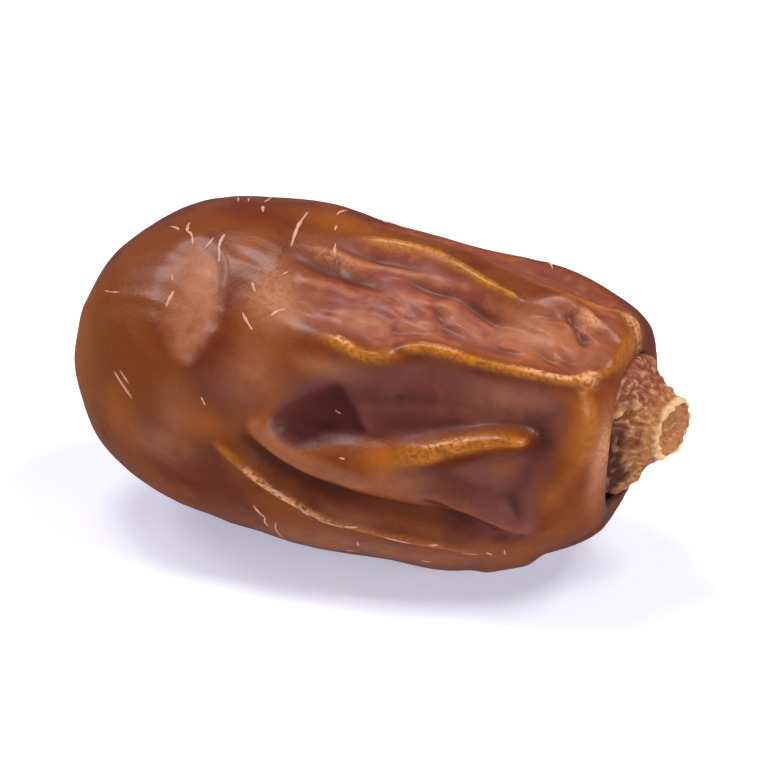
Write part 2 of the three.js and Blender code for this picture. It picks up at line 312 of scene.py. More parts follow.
@dataclass(frozen=True)
class Fold:
    """A fold of skin that stands up, or a crease where its height is below nought.

    The two widths and the two fades are at the line's two ends. A fade is the share of the line
    over which the fold rises from nothing, and without one its end is round.
    """

    height: float
    widths: tuple[float, float]
    line: tuple[tuple[float, float], ...]
    fades: tuple[float, float] = (0.12, 0.12)
    tint: Tint = Tint.GOLD
    strength: float = 1


@dataclass(frozen=True)
class Patch:
    """A soft blot of one tint, with its two half-widths along and round the fruit."""

    tint: Tint
    station: float
    angle: float
    half_length: float
    half_width: float
    strength: float


PANELS = {
    "upper_front": Panel(
        depth=0.85,
        slope=1.5,
        tint=Tint.ROSE,
        wrinkle=0.13,
        deepens=(14, 21),
        edge=(
            (15, 46), (17, 47.5), (19.6, 46.5), (22.4, 48.5), (24.2, 45.5), (26, 42), (28.7, 43.5),
            (31.6, 44.5), (34.4, 44), (35.5, 37), (35.8, 25), (35.6, 8), (35, -4), (33, -3), (31.4, 8),
            (30, 16), (28.5, 15.5), (26.9, 12.5), (25.5, 9), (23.6, 4.5), (21.8, 2), (20, 2), (18, 5.5),
            (16, 11), (14.8, 22), (14.5, 34),
        ),
    ),
    "lower_front": Panel(
        depth=1.25,
        slope=2.1,
        tint=Tint.WINE,
        strength=0,
        wrinkle=0.05,
        deepens=(15.5, 21),
        edge=(
            (16.4, 80), (17.4, 70), (18.9, 62.5), (20.5, 57.5), (22.7, 57), (25.4, 52.5), (27.7, 52),
            (29.9, 53), (32, 54), (34.4, 57.5), (35.2, 67), (35.5, 80), (34.8, 92), (34.2, 104),
            (32.8, 118), (30.8, 112.5), (28.4, 104.5), (26, 99), (23.6, 92), (21.6, 88.5), (19.6, 90.5),
            (17.8, 90.5), (16.6, 87),
        ),
    ),
    "round_the_tongue": Panel(
        depth=0.15,
        slope=0.5,
        tint=Tint.MAUVE,
        wrinkle=0.04,
        deepens=(15.5, 19),
        edge=(
            (17, 84), (16.7, 79), (17.5, 70), (18.8, 63), (21.1, 57), (23.5, 53.5), (25.2, 50), (26.9, 48.5),
            (28.8, 50), (31.1, 52), (33.1, 53.5), (34.4, 58), (34.7, 68), (34.7, 82), (34.4, 93), (33.9, 100),
            (33.8, 112), (33.6, 122), (32.7, 130), (30.6, 124), (28.7, 115), (26.9, 106), (25.4, 101),
            (26.9, 95), (28.7, 88.5), (30.4, 84), (32.4, 82), (33.5, 78), (33.2, 72.5), (32.2, 70.5),
            (30.6, 71.5), (28.9, 73.5), (27.7, 77), (26.4, 79), (24.8, 81), (22.9, 83), (21.4, 85),
            (19.6, 87), (18.5, 90), (17.5, 89),
        ),
    ),
    "core": Panel(
        depth=0.2,
        slope=0.8,
        tint=Tint.PLUM,
        tint_edge=(-0.2, 0.25),
        wrinkle=0.05,
        edge=(
            (17.1, 78), (18, 73), (19.5, 66.5), (20.7, 62.5), (21.4, 67), (22.1, 72), (22.4, 75.5),
            (22.8, 79.5), (20.8, 84), (18.7, 89), (17.4, 87), (16.9, 82),
        ),
    ),
    "core_tail": Panel(
        depth=0.1,
        slope=0.8,
        tint=Tint.PLUM,
        tint_edge=(-0.3, 0.9),
        strength=0.5,
        wrinkle=0.05,
        edge=(
            (22.6, 71), (24.6, 68.5), (27, 67.5), (28.8, 68.5), (28.6, 73), (26.9, 77), (25, 78.5),
            (23.2, 79.5),
        ),
    ),
    "under_tongue": Panel(
        depth=0.15,
        slope=0.6,
        tint=Tint.PLUM,
        strength=0.65,
        edge=(
            (27.3, 101), (29.4, 106), (31.8, 118), (33, 125), (32.4, 131), (30.4, 124), (28.5, 115),
            (26.9, 106),
        ),
    ),
    # The dome's sunken facet takes the milky tint: partly bloom, partly a painted reflection of a softbox.
    "blossom_dome": Panel(
        depth=0.45,
        slope=1.0,
        tint=Tint.BLOOM_AND_SHEEN,
        tint_edge=(-0.5, 1.2),
        strength=0.9,
        wrinkle=0.02,
        deepens=(7, 11.3),
        edge=(
            (7.5, 26), (9.3, 21), (10.6, 24), (11.9, 31), (12.5, 41), (12.7, 52), (12, 62), (11.2, 69),
            (9.8, 66), (8.2, 55), (7, 42), (6.8, 33),
        ),
    ),
    "ridge_top": Panel(
        depth=0.7,
        slope=1.7,
        tint=Tint.ROSE,
        strength=0.8,
        wrinkle=0.13,
        edge=(
            (17.5, -13), (21.5, -14), (25, -8), (28.4, -1), (31.4, 4), (34.6, -2), (34.9, -17), (31, -27),
            (25, -31), (19.5, -26),
        ),
    ),
    "back_blossom": Panel(
        depth=0.8,
        slope=2.2,
        tint=Tint.WINE,
        strength=0.8,
        edge=(
            (5.4, -46), (9.5, -31), (14.5, -27), (18.4, -33), (22, -40), (22.6, -50), (19.6, -61), (14, -66),
            (8.4, -63),
        ),
    ),
    "back_stem": Panel(
        depth=1.0,
        slope=1.9,
        tint=Tint.WINE,
        edge=(
            (20.6, -70), (24.4, -55), (27.5, -41), (32.5, -40), (35.1, -56), (34.8, -77), (31, -90),
            (25.5, -89), (21.6, -80),
        ),
    ),
    "back_flank": Panel(
        depth=0.9,
        slope=2,
        tint=Tint.ROSE,
        wrinkle=0.12,
        edge=(
            (6.6, -94), (10.5, -80), (16.5, -78), (20.6, -91), (26, -100), (32, -101), (34.4, -112),
            (31.5, -124), (24, -121), (18, -128), (10.6, -121),
        ),
    ),
    "under_stem": Panel(
        depth=0.3,
        slope=2,
        tint=Tint.ROSE,
        strength=0.7,
        edge=((28.5, 178), (32, 176), (34.2, 186), (34.4, 204), (32, 220), (28.5, 222), (27.4, 200)),
    ),
    "under_blossom": Panel(
        depth=0.25,
        slope=2.2,
        tint=Tint.WINE,
        strength=0.6,
        edge=((5, 160), (8, 144), (11.4, 142), (12.4, 165), (11.6, 196), (8.6, 208), (5.6, 192)),
    ),
}

# Folds with the crease tint paint shade into their creases and valleys.
FOLDS = {
    "ridge_by_blossom": Fold(
        height=0.45,
        widths=(0.75, 0.45),
        fades=(0.5, 0.25),
        line=((15.5, 54), (18.6, 51), (20, 49.5), (21.1, 50.5), (22.4, 51.8), (23.6, 51), (25.4, 49.5)),
    ),
    "ridge_by_stem": Fold(
        height=0.45,
        widths=(0.5, 0.5),
        fades=(0.12, 0.2),
        line=(
            (23.6, 48), (25.2, 45.5), (26.8, 45), (28.6, 46.2), (30.5, 47.2), (32.7, 48), (34.2, 47.5),
            (35.1, 42), (35.7, 32),
        ),
    ),
    # The glint folds below are painted highlights: pale lines of colour, with almost no height, where light
    # catches the ridges, the tongue and the lip.
    "ridge_start_glint": Fold(
        height=0.05,
        widths=(0.2, 0.25),
        fades=(0, 0.3),
        tint=Tint.PALE_AND_GLINT,
        strength=0.9,
        line=((20.5, 48), (21.1, 49.3), (21.8, 50.3)),
    ),
    "ridge_middle_glint": Fold(
        height=0.05,
        widths=(0.2, 0.2),
        fades=(0.3, 0.3),
        tint=Tint.PALE_AND_GLINT,
        strength=0.5,
        line=((24.8, 44), (26, 43.2), (27.4, 43.8), (29, 45.2)),
    ),
    "ridge_end_glint": Fold(
        height=0.05,
        widths=(0.25, 0.4),
        fades=(0.3, 0.2),
        tint=Tint.PALE_AND_GLINT,
        strength=1,
        line=((29.6, 45.6), (31.2, 46.2), (32.7, 46.7), (34.1, 46.2), (35, 41), (35.5, 34)),
    ),
    "tongue_glint": Fold(
        height=0.05,
        widths=(0.2, 0.2),
        fades=(0.3, 0.3),
        tint=Tint.PALE_AND_GLINT,
        strength=0.7,
        line=((26, 81), (27.4, 79), (28.8, 76.4), (30.2, 74.4)),
    ),
    "lip_glint": Fold(
        height=0.06,
        widths=(0.28, 0.2),
        fades=(0.2, 0.4),
        tint=Tint.PALE_AND_GLINT,
        strength=0.9,
        line=((14.2, 96.5), (16.2, 103.4), (18, 108.6), (20.2, 114.6), (23.3, 117)),
    ),
    "shoulder": Fold(
        height=0.15,
        widths=(0.5, 0.55),
        fades=(0, 0.3),
        strength=0.5,
        line=((34.8, 47), (35.3, 56), (35.6, 68), (35.6, 82), (35.3, 96)),
    ),
    "far_shoulder": Fold(
        height=0.12,
        widths=(0.4, 0.4),
        fades=(0.3, 0),
        strength=0.7,
        line=((31.4, 3), (33, -2.5), (34.3, -6.5), (35.3, -9), (35.9, -10.5)),
    ),
    "stem_rim": Fold(
        height=0.12,
        widths=(0.28, 0.35),
        fades=(0.15, 0),
        strength=0.6,
        line=((34.3, 47.5), (35.1, 43), (35.7, 36), (36, 27), (36.1, 16), (36.1, 4), (36, -6), (35.9, -10.5)),
    ),
    "facet_edge": Fold(
        height=0.12,
        widths=(0.5, 0.7),
        fades=(0.4, 0.4),
        tint=Tint.WINE,
        strength=0.3,
        line=((21.5, 62), (22.1, 67), (22.7, 72.5), (23.2, 76), (23.8, 79)),
    ),
    "sub_panel_edge": Fold(
        height=-0.15,
        widths=(0.3, 0.45),
        fades=(0.15, 0.2),
        tint=Tint.PLUM,
        strength=0.9,
        line=((25.9, 99.5), (28, 106), (29.3, 111), (31.2, 118.5), (32, 124)),
    ),
    "top": Fold(
        height=0.4,
        widths=(0.8, 0.45),
        fades=(0.4, 0),
        line=((15.1, 9), (18.2, 4), (20, 1.5), (21.8, 1), (23.6, 2.5), (26, 8), (27.8, 12), (29.3, 15)),
    ),
    # The milky tint on the crests and swells below is partly bloom and partly a painted sheen on their tops.
    "upper_crest": Fold(
        height=0.3,
        widths=(0.5, 0.35),
        fades=(0.3, 0.3),
        tint=Tint.BLOOM_AND_SHEEN,
        strength=0.55,
        line=(
            (15.1, 18), (16.4, 15.5), (18.1, 13.5), (19.6, 13.5), (21, 12), (23.5, 12), (25, 14),
            (26.6, 15.5), (28.9, 17.5),
        ),
    ),
    "upper_valley": Fold(
        height=-0.25,
        widths=(0.6, 0.8),
        fades=(0.4, 0.4),
        tint=Tint.CREASE,
        strength=0.5,
        line=((14.4, 23), (16.3, 21.5), (18.6, 21.5), (21, 20), (22.6, 19)),
    ),
    "middle_crest": Fold(
        height=0.22,
        widths=(0.55, 0.4),
        fades=(0.3, 0.3),
        tint=Tint.BLOOM_AND_SHEEN,
        strength=0.5,
        line=((16.2, 31), (17.3, 29.5), (19, 28), (20.1, 28.5), (21.6, 26)),
    ),
    "long_swell": Fold(
        height=0.3,
        widths=(1.2, 1.2),
        fades=(0, 0),
        tint=Tint.BLOOM_AND_SHEEN,
        strength=0.45,
        line=((20.3, 40), (22.2, 38.5)),
    ),
    "short_swell": Fold(
        height=0.28,
        widths=(0.7, 0.6),
        fades=(0, 0),
        tint=Tint.BLOOM_AND_SHEEN,
        strength=0.5,
        line=((23.9, 36.5), (25.3, 34.5)),
    ),
    "slanting_swell": Fold(
        height=0.28,
        widths=(0.55, 0.8),
        fades=(0.4, 0),
        tint=Tint.BLOOM_AND_SHEEN,
        strength=0.55,
        line=((24.8, 22.5), (26.2, 26.5), (28, 33)),
    ),
    "crease_by_long_swell": Fold(
        height=-0.18,
        widths=(0.35, 0.35),
        fades=(0.4, 0.4),
        tint=Tint.CREASE,
        strength=0.4,
        line=((23, 36), (23.6, 39.5), (24.8, 41)),
    ),
    "crease_by_short_swell": Fold(
        height=-0.18,
        widths=(0.35, 0.35),
        fades=(0.4, 0.4),
        tint=Tint.CREASE,
        strength=0.4,
        line=((25, 25), (26, 30), (26.9, 36)),
    ),
    "crease_by_slanting_swell": Fold(
        height=-0.22,
        widths=(0.45, 0.5),
        fades=(0.4, 0.4),
        tint=Tint.CREASE,
        strength=0.45,
        line=((25.8, 18), (27.6, 21), (29.1, 26), (29.8, 32)),
    ),
    "stem_crease": Fold(
        height=-0.35,
        widths=(0.4, 0.4),
        fades=(0.3, 0.3),
        tint=Tint.CREASE,
        strength=0.5,
        line=((32.3, 6), (33.4, 14), (34.2, 20), (34.4, 27)),
    ),
    # The stem swell's milky tint is mostly a painted highlight on its top.
    "stem_swell": Fold(
        height=0.35,
        widths=(0.6, 0.6),
        fades=(0, 0),
        tint=Tint.BLOOM_AND_SHEEN,
        strength=0.95,
        line=((33.6, 5), (34.5, 10)),
    ),
    "tongue": Fold(
        height=1.2,
        widths=(1.5, 0.6),
        fades=(0.45, 0),
        strength=0.9,
        line=(
            (21, 92), (23.2, 89), (25.2, 85.5), (27, 82.5), (28.4, 79.5), (29.8, 77), (31.2, 75.5),
            (32.5, 76),
        ),
    ),
    # The channel fold's milky tint is partly bloom and partly a painted sheen on its slope.
    "channel_fold": Fold(
        height=0.35,
        widths=(0.9, 0.9),
        fades=(0.2, 0.2),
        tint=Tint.BLOOM_AND_SHEEN,
        strength=0.45,
        line=((15.5, 78), (16, 83), (17, 89), (18.6, 92.5), (20.6, 94), (23, 95), (25.4, 96)),
    ),
    "channel": Fold(
        height=-0.7,
        widths=(0.7, 1.0),
        fades=(0.25, 0.2),
        tint=Tint.CREASE,
        strength=0.35,
        line=(
            (14.5, 84), (15.2, 90), (16.6, 96), (18.6, 101), (21, 104), (24, 107), (27.3, 110), (29.5, 116),
            (31.6, 126),
        ),
    ),
    "channel_floor": Fold(
        height=-0.12,
        widths=(0.35, 0.35),
        fades=(0.2, 0.35),
        tint=Tint.CREASE,
        strength=0.5,
        line=(
            (14.6, 84), (15.2, 89), (16.6, 94.5), (18.6, 99.5), (21, 102.5), (24, 105.5), (27.3, 109),
            (29.5, 115), (31.4, 125),
        ),
    ),
    "channel_lip": Fold(
        height=0.4,
        widths=(0.5, 0.4),
        fades=(0.1, 0.2),
        strength=0.6,
        line=(
            (12.4, 91), (14.4, 97.5), (16.2, 104), (18, 109), (20.2, 115), (23.3, 117.5), (27, 121.5),
            (28.9, 126), (30.7, 134),
        ),
    ),
    "stem_belly": Fold(
        height=0.55,
        widths=(2.2, 2.2),
        fades=(0.3, 0.3),
        tint=Tint.AMBER,
        strength=0.15,
        line=((28.5, 142), (31, 148), (33.5, 152)),
    ),
    "back_tongue": Fold(
        height=0.95,
        widths=(1.2, 0.6),
        fades=(0.25, 0),
        line=((22, -74), (25, -72), (28, -64), (32.6, -58)),
    ),
    "back_seam": Fold(
        height=0.45,
        widths=(0.8, 0.55),
        line=((4.6, -68), (9, -72), (14, -72), (18.5, -74), (21.4, -86), (27.6, -95), (33, -94)),
    ),
    "flank_tongue": Fold(
        height=0.75,
        widths=(1.1, 0.6),
        fades=(0.25, 0.1),
        strength=0.8,
        line=((8.6, -104), (13, -99), (18, -104), (22, -110)),
    ),
    "under_seam": Fold(
        height=0.25,
        widths=(0.8, 0.6),
        strength=0.6,
        line=((10, -132), (18, -137), (26, -134), (33, -130)),
    ),
    "back_crease": Fold(
        height=-0.5,
        widths=(0.6, 0.45),
        tint=Tint.CREASE,
        strength=0.8,
        line=((17, -84), (20.6, -98), (25, -107), (30.5, -112)),
    ),
}

PATCHES = (
    Patch(Tint.AMBER, station=1.5, angle=75, half_length=2.6, half_width=9, strength=0.8),
    Patch(Tint.AMBER, station=12.8, angle=20, half_length=1.6, half_width=1.9, strength=0.5),
    Patch(Tint.AMBER, station=12.6, angle=88, half_length=1.8, half_width=1.2, strength=0.8),
    Patch(Tint.AMBER, station=24.2, angle=86, half_length=1.2, half_width=0.8, strength=0.9),
    Patch(Tint.AMBER, station=35.2, angle=70, half_length=0.65, half_width=4.2, strength=1),
    Patch(Tint.AMBER, station=35.9, angle=14, half_length=0.7, half_width=3, strength=0.4),
    Patch(Tint.AMBER, station=32.6, angle=-4, half_length=2, half_width=0.9, strength=0.7),
    Patch(Tint.AMBER, station=32.5, angle=28, half_length=2.4, half_width=2.4, strength=0.6),
    Patch(Tint.AMBER, station=17, angle=-4, half_length=4, half_width=1.5, strength=0.5),
    Patch(Tint.AMBER, station=16, angle=-70, half_length=3, half_width=3, strength=0.6),
    Patch(Tint.AMBER, station=26, angle=165, half_length=5, half_width=4, strength=0.5),
    Patch(Tint.AMBER, station=32.5, angle=6, half_length=1, half_width=0.8, strength=0.35),
    Patch(Tint.AMBER, station=5.9, angle=94, half_length=1.5, half_width=2.4, strength=0.6),
    Patch(Tint.AMBER, station=12.8, angle=27, half_length=1, half_width=1.2, strength=0.5),
    Patch(Tint.AMBER, station=31.6, angle=90, half_length=0.9, half_width=0.7, strength=0.5),
    Patch(Tint.AMBER, station=34.1, angle=103, half_length=0.8, half_width=1.6, strength=0.5),
    # The milky patches below are partly bloom and partly painted sheen. The long one underneath paints the
    # floor's reflection, and the narrow one at the stem rim paints a highlight.
    Patch(Tint.BLOOM_AND_SHEEN, station=16, angle=41, half_length=2, half_width=1.8, strength=0.8),
    Patch(Tint.BLOOM_AND_SHEEN, station=15.4, angle=68, half_length=1.8, half_width=2.2, strength=0.5),
    Patch(Tint.BLOOM_AND_SHEEN, station=20, angle=58.5, half_length=2.4, half_width=0.7, strength=0.5),
    Patch(Tint.BLOOM_AND_SHEEN, station=25.4, angle=95, half_length=2.2, half_width=0.9, strength=0.5),
    Patch(Tint.BLOOM_AND_SHEEN, station=22, angle=136, half_length=9, half_width=2, strength=0.55),
    Patch(Tint.BLOOM_AND_SHEEN, station=10, angle=-60, half_length=4, half_width=4, strength=0.6),
    Patch(Tint.BLOOM_AND_SHEEN, station=31.4, angle=27, half_length=2.2, half_width=1.9, strength=0.75),
    Patch(Tint.BLOOM_AND_SHEEN, station=36.2, angle=92, half_length=0.35, half_width=6, strength=0.8),
    Patch(Tint.BLOOM_AND_SHEEN, station=21.4, angle=115, half_length=2.5, half_width=0.7, strength=0.3),
    Patch(Tint.BLOOM_AND_SHEEN, station=10.4, angle=88, half_length=1.2, half_width=2.4, strength=0.35),
    Patch(Tint.BLOOM_AND_SHEEN, station=31.4, angle=60, half_length=2.3, half_width=1.2, strength=0.6),
    Patch(Tint.BLOOM_AND_SHEEN, station=9.4, angle=101, half_length=2, half_width=1.6, strength=0.45),
    # The pale patches below are mostly painted highlights on the shoulders, the top and the ridge's corner.
    # The faint one at station 15.3 is pale scratched skin.
    Patch(Tint.PALE_AND_GLINT, station=36.3, angle=76, half_length=0.2, half_width=2.6, strength=0.6),
    Patch(Tint.PALE_AND_GLINT, station=15.3, angle=37, half_length=1.3, half_width=1.9, strength=0.26),
    Patch(Tint.PALE_AND_GLINT, station=34.9, angle=44.5, half_length=0.5, half_width=0.5, strength=0.8),
    Patch(Tint.PALE_AND_GLINT, station=18, angle=15, half_length=1.6, half_width=0.5, strength=0.35),
    Patch(Tint.PALE_AND_GLINT, station=35.8, angle=-9, half_length=0.7, half_width=0.9, strength=0.85),
    Patch(Tint.PALE_AND_GLINT, station=34, angle=8, half_length=0.7, half_width=0.6, strength=0.8),
    Patch(Tint.GOLD, station=23.8, angle=49, half_length=0.6, half_width=0.4, strength=0.6),
    Patch(Tint.WINE, station=31, angle=60, half_length=2.4, half_width=1.1, strength=0.7),
    Patch(Tint.WINE, station=26.8, angle=58.5, half_length=1.5, half_width=1, strength=0.9),
    Patch(Tint.WINE, station=28.2, angle=64, half_length=2.2, half_width=0.9, strength=0.5),
    # This wine patch and the plum one at station 33.4 below darken the skin just past the tongue's tip:
    # painted shade at its end.
    Patch(Tint.WINE, station=33.4, angle=79, half_length=0.7, half_width=1.6, strength=0.7),
    Patch(Tint.MAUVE, station=20.4, angle=31, half_length=2, half_width=1.3, strength=0.35),
    Patch(Tint.MAUVE, station=23, angle=132, half_length=8, half_width=1.6, strength=0.35),
    Patch(Tint.MAUVE, station=13.2, angle=75, half_length=1.7, half_width=1.2, strength=0.5),
    Patch(Tint.MAUVE, station=17.6, angle=66, half_length=1.6, half_width=0.9, strength=0.5),
    Patch(Tint.PLUM, station=33.4, angle=77, half_length=0.7, half_width=0.9, strength=0.8),
    Patch(Tint.PLUM, station=26.5, angle=72, half_length=1.4, half_width=0.5, strength=0.5),
    Patch(Tint.PLUM, station=19.5, angle=20, half_length=2.6, half_width=0.9, strength=0.4),
    Patch(Tint.PLUM, station=10.5, angle=-12, half_length=3, half_width=2.4, strength=0.4),
    Patch(Tint.PLUM, station=29, angle=-74, half_length=3, half_width=2.2, strength=0.8),
    Patch(Tint.PLUM, station=13, angle=-48, half_length=3.4, half_width=1.6, strength=0.6),
    Patch(Tint.PLUM, station=22.9, angle=63, half_length=0.9, half_width=1.2, strength=0.35),
    Patch(Tint.PLUM, station=29.2, angle=102, half_length=1.9, half_width=1.3, strength=0.5),
    # The crease tint in these patches is painted shade.
    Patch(Tint.CREASE, station=3.5, angle=70, half_length=2, half_width=4, strength=0.22),
    Patch(Tint.CREASE, station=24.7, angle=63, half_length=0.4, half_width=0.25, strength=0.6),
    Patch(Tint.CREASE, station=31.5, angle=124, half_length=0.5, half_width=0.3, strength=0.7),
)


@dataclass(frozen=True)
class Pleats:
    """Small pleats gathered at both ends, and a slow unevenness everywhere.

    The pleats come in between two stations, which are shares of the fruit's length. A sway bends a
    whole number of times round the fruit, so that the pleats aren't evenly spaced.
    """

    stem_stations: tuple[float, float] = (0.86, 0.985)
    stem_height: float = 0.07
    stem_count: int = 13
    stem_sway: tuple[float, int] = (2, 3)
    blossom_stations: tuple[float, float] = (0.1, 0.02)
    blossom_height: float = 0.1
    blossom_count: int = 9
    blossom_sway: tuple[float, int] = (1.5, 2)
    long_swell: float = 0.09
    short_swell: float = 0.07

    def height(self, station: Array, angle: Array, length: float) -> Array:
        """Work out how far the pleats stand out.

        Args:
            station: distances from the blossom tip.
            angle: clock angles.
            length: the fruit's length.

        Returns:
            The height at each spot.
        """
        turn = np.radians(angle)
        relief = np.zeros(len(station))
        for (start, end), height, count, (bend, times) in (
            (self.stem_stations, self.stem_height, self.stem_count, self.stem_sway),
            (self.blossom_stations, self.blossom_height, self.blossom_count, self.blossom_sway),
        ):
            pleated = share(station, start * length, end * length)
            relief = relief + height * pleated * np.sin(count * turn + bend * np.sin(times * turn))
        uneven = self.long_swell * np.sin(0.55 * station + 2 * turn)
        return relief + (uneven + self.short_swell * np.sin(0.8 * station - 3 * turn + 1))


@dataclass(frozen=True)
class Wrinkles:
    """Narrow-backed wrinkles that run along the fruit and drift a little to the side."""

    length: float = 4.5
    width: float = 1.3
    drift: float = 1.3
    drift_size: float = 4
    drift_seed: float = 7
    twist: float = 0.02
    steepness: float = 3
    roundness: float = 0.06

    def height(self, station: Array, angle: Array) -> Array:
        """Work out the wrinkles.

        Args:
            station: distances from the blossom tip.
            angle: clock angles.

        Returns:
            The height at each spot, between about -1 and 1.
        """
        turn = np.radians(angle) - self.twist * station
        across, up = GREATEST_RADIUS * np.sin(turn), GREATEST_RADIUS * np.cos(turn)
        heights = np.empty(len(station))
        for index, (x, y, z) in enumerate(zip(station, across, up)):
            cloud = Vector((x / self.drift_size, y / self.drift_size, z / self.drift_size + self.drift_seed))
            drift = self.drift * noise.noise(cloud)
            ripple = Vector((x / self.length, (y + drift) / self.width, (z + drift) / self.width))
            heights[index] = 1 - self.steepness * math.hypot(noise.noise(ripple), self.roundness)
        return heights


class SkinMap:
    """Works out the skin's relief and tints at any spots."""

    PLAIN_WRINKLE = 0.035
    PANEL_REACH = 2
    FOLD_REACH = 4
    FAR = 9
    TINTED_CREST = (0.3, 0.95)
    SCAR_STATIONS = (0.03, 0.2)

    def __init__(self, sizes: FruitSizes) -> None:
        """Lay every panel's edge and every fold's line on the skin.

        Args:
            sizes: the plain body's sizes.
        """
        self.sizes = sizes
        self.pleats = Pleats()
        self.wrinkles = Wrinkles()
        self.panels = [(panel, SkinLine(panel.edge, closed=True)) for panel in PANELS.values()]
        self.folds = [(fold, SkinLine(fold.line, closed=False)) for fold in FOLDS.values()]

    def at(self, station: Array, angle: Array) -> tuple[Array, dict[Tint, Array]]:
        """Work out the skin at each spot.

        Args:
            station: distances from the blossom tip.
            angle: clock angles.

        Returns:
            How far the skin stands out of the plain body, and each tint's mask from 0 to 1.
        """
        relief = self.pleats.height(station, angle, self.sizes.length)
        masks = {tint: np.zeros(len(station)) for tint in Tint}
        wrinkle_height = np.full(len(station), self.PLAIN_WRINKLE)
        for panel, line in self.panels:
            spots = line.unroll(station, angle)
            distance, _ = line.nearest(spots, self.PANEL_REACH)
            signed = np.where(line.holds(spots), distance, -distance)
            fall = smooth_share(signed, -panel.rim, panel.slope) * smooth_share(station, *panel.deepens)
            relief -= panel.depth * fall
            stain = smooth_share(signed, *panel.tint_edge) * smooth_share(station, *panel.deepens)
            masks[panel.tint] = np.maximum(masks[panel.tint], panel.strength * stain)
            wrinkle_height = np.maximum(wrinkle_height, panel.wrinkle * fall)
        for fold, line in self.folds:
            distance, along = line.nearest(line.unroll(station, angle), self.FOLD_REACH)
            width = fold.widths[0] + (fold.widths[1] - fold.widths[0]) * along
            swell = np.ones(len(station))
            for part, fade in ((along, fold.fades[0]), (1 - along, fold.fades[1])):
                if fade:
                    swell *= smooth_share(part, 0, fade)
            crest = swell * np.exp(-((np.minimum(distance, self.FAR) / width) ** 2))
            relief += fold.height * crest
            stain = fold.strength * smooth_share(crest, *self.TINTED_CREST)
            masks[fold.tint] = np.maximum(masks[fold.tint], stain)
        for patch in PATCHES:
            long_way = (station - patch.station) / patch.half_length
            round_way = degrees_from(angle, patch.angle) * MM_PER_DEGREE / patch.half_width
            spread = long_way**2 + round_way**2
            masks[patch.tint] = np.maximum(masks[patch.tint], patch.strength * np.exp(-spread))
        masks[Tint.SCAR] = 1 - smooth_share(station, *self.SCAR_STATIONS)
        relief += wrinkle_height * self.wrinkles.height(station, angle)
        return relief, masks


def set_places(mesh: bpy.types.Mesh, places: Array) -> None:
    """Move a mesh's points to places in metres."""
    mesh.vertices.foreach_set("co", places.astype(np.float32).ravel())
    mesh.update()


def get_places(mesh: bpy.types.Mesh, what: str = "co") -> Array:
    """Read a mesh's points or their normals.

    Args:
        mesh: the mesh.
        what: "co" for the points, or "normal".

    Returns:
        The points or normals, one in each row.
    """
    values = np.empty(3 * len(mesh.vertices), np.float32)
    mesh.vertices.foreach_get(what, values)
    return values.reshape(-1, 3).astype(float)


def mask_onto(mesh: bpy.types.Mesh, name: str, values: Array) -> None:
    """Keep one number for each of a mesh's points as an attribute."""
    mesh.attributes.new(name, "FLOAT", "POINT").data.foreach_set("value", values.astype(np.float32))


def finished_mesh(name: str, shape: bmesh.types.BMesh) -> bpy.types.Mesh:
    """Turn a shape into a smooth mesh whose faces point outwards.

    Args:
        name: the mesh's name.
        shape: the shape, which is freed.

    Returns:
        The mesh.
    """
    bmesh.ops.recalc_face_normals(shape, faces=shape.faces)
    mesh = bpy.data.meshes.new(name)
    shape.to_mesh(mesh)
    shape.free()
    mesh.shade_smooth()
    return mesh


def turned_mesh(name: str, profile: Array, steps: int, cuts: int) -> bpy.types.Mesh:
    """Spin a profile about the X axis into a closed mesh.

    Args:
        name: the mesh's name.
        profile: stations and radii in millimetres, starting and ending on the axis.
        steps: how many steps the profile is spun in.
        cuts: how many times each step is then cut, with the new points on the same circles.

    Returns:
        The mesh, in millimetres, with stations along X.
    """
    shape = bmesh.new()
    dots = [shape.verts.new((station, 0, radius)) for station, radius in profile]
    edges = [shape.edges.new(pair) for pair in zip(dots[:-1], dots[1:])]
    bmesh.ops.spin(
        shape,
        geom=[*dots, *edges],
        cent=(0, 0, 0),
        axis=(1, 0, 0),
        angle=2 * math.pi,
        steps=steps,
        use_merge=True,
    )
    bmesh.ops.remove_doubles(shape, verts=shape.verts, dist=1e-5)
    rings = [edge for edge in shape.edges if runs_round(edge)]
    bmesh.ops.subdivide_edges(shape, edges=rings, cuts=cuts)
    half_step = math.pi / steps
    for vert in shape.verts:
        offset = math.atan2(vert.co.y, vert.co.z) % (2 * half_step) - half_step
        bulge = math.cos(offset) / math.cos(half_step)
        vert.co.y *= bulge
        vert.co.z *= bulge
    return finished_mesh(name, shape)


def runs_round(edge: bmesh.types.BMEdge) -> bool:
    """Tell whether an edge lies on a circle round the X axis."""
    start, end = (vert.co for vert in edge.verts)
    return abs(start.x - end.x) < 1e-5 and abs(math.hypot(*start.yz) - math.hypot(*end.yz)) < 1e-4


def neighbour_mean(mesh: bpy.types.Mesh, values: Array, rounds: int) -> Array:
    """Average a value at each point of a mesh with its neighbours.

    Args:
        mesh: the mesh.
        values: one number for each point.
        rounds: how many times the averaging is done.

    Returns:
        The averaged numbers.
    """
    pairs = np.empty(2 * len(mesh.edges), np.int32)
    mesh.edges.foreach_get("vertices", pairs)
    one, other = pairs.reshape(-1, 2).T
    count = np.bincount(pairs, minlength=len(values))
    for _ in range(rounds):
        total = np.bincount(one, values[other], len(values)) + np.bincount(other, values[one], len(values))
        values = (values + total / count) / 2
    return values


def clock_angle(places: Array) -> Array:
    """Clock angle of points round the X axis."""
    return np.degrees(np.arctan2(-places[:, 1], places[:, 2]))


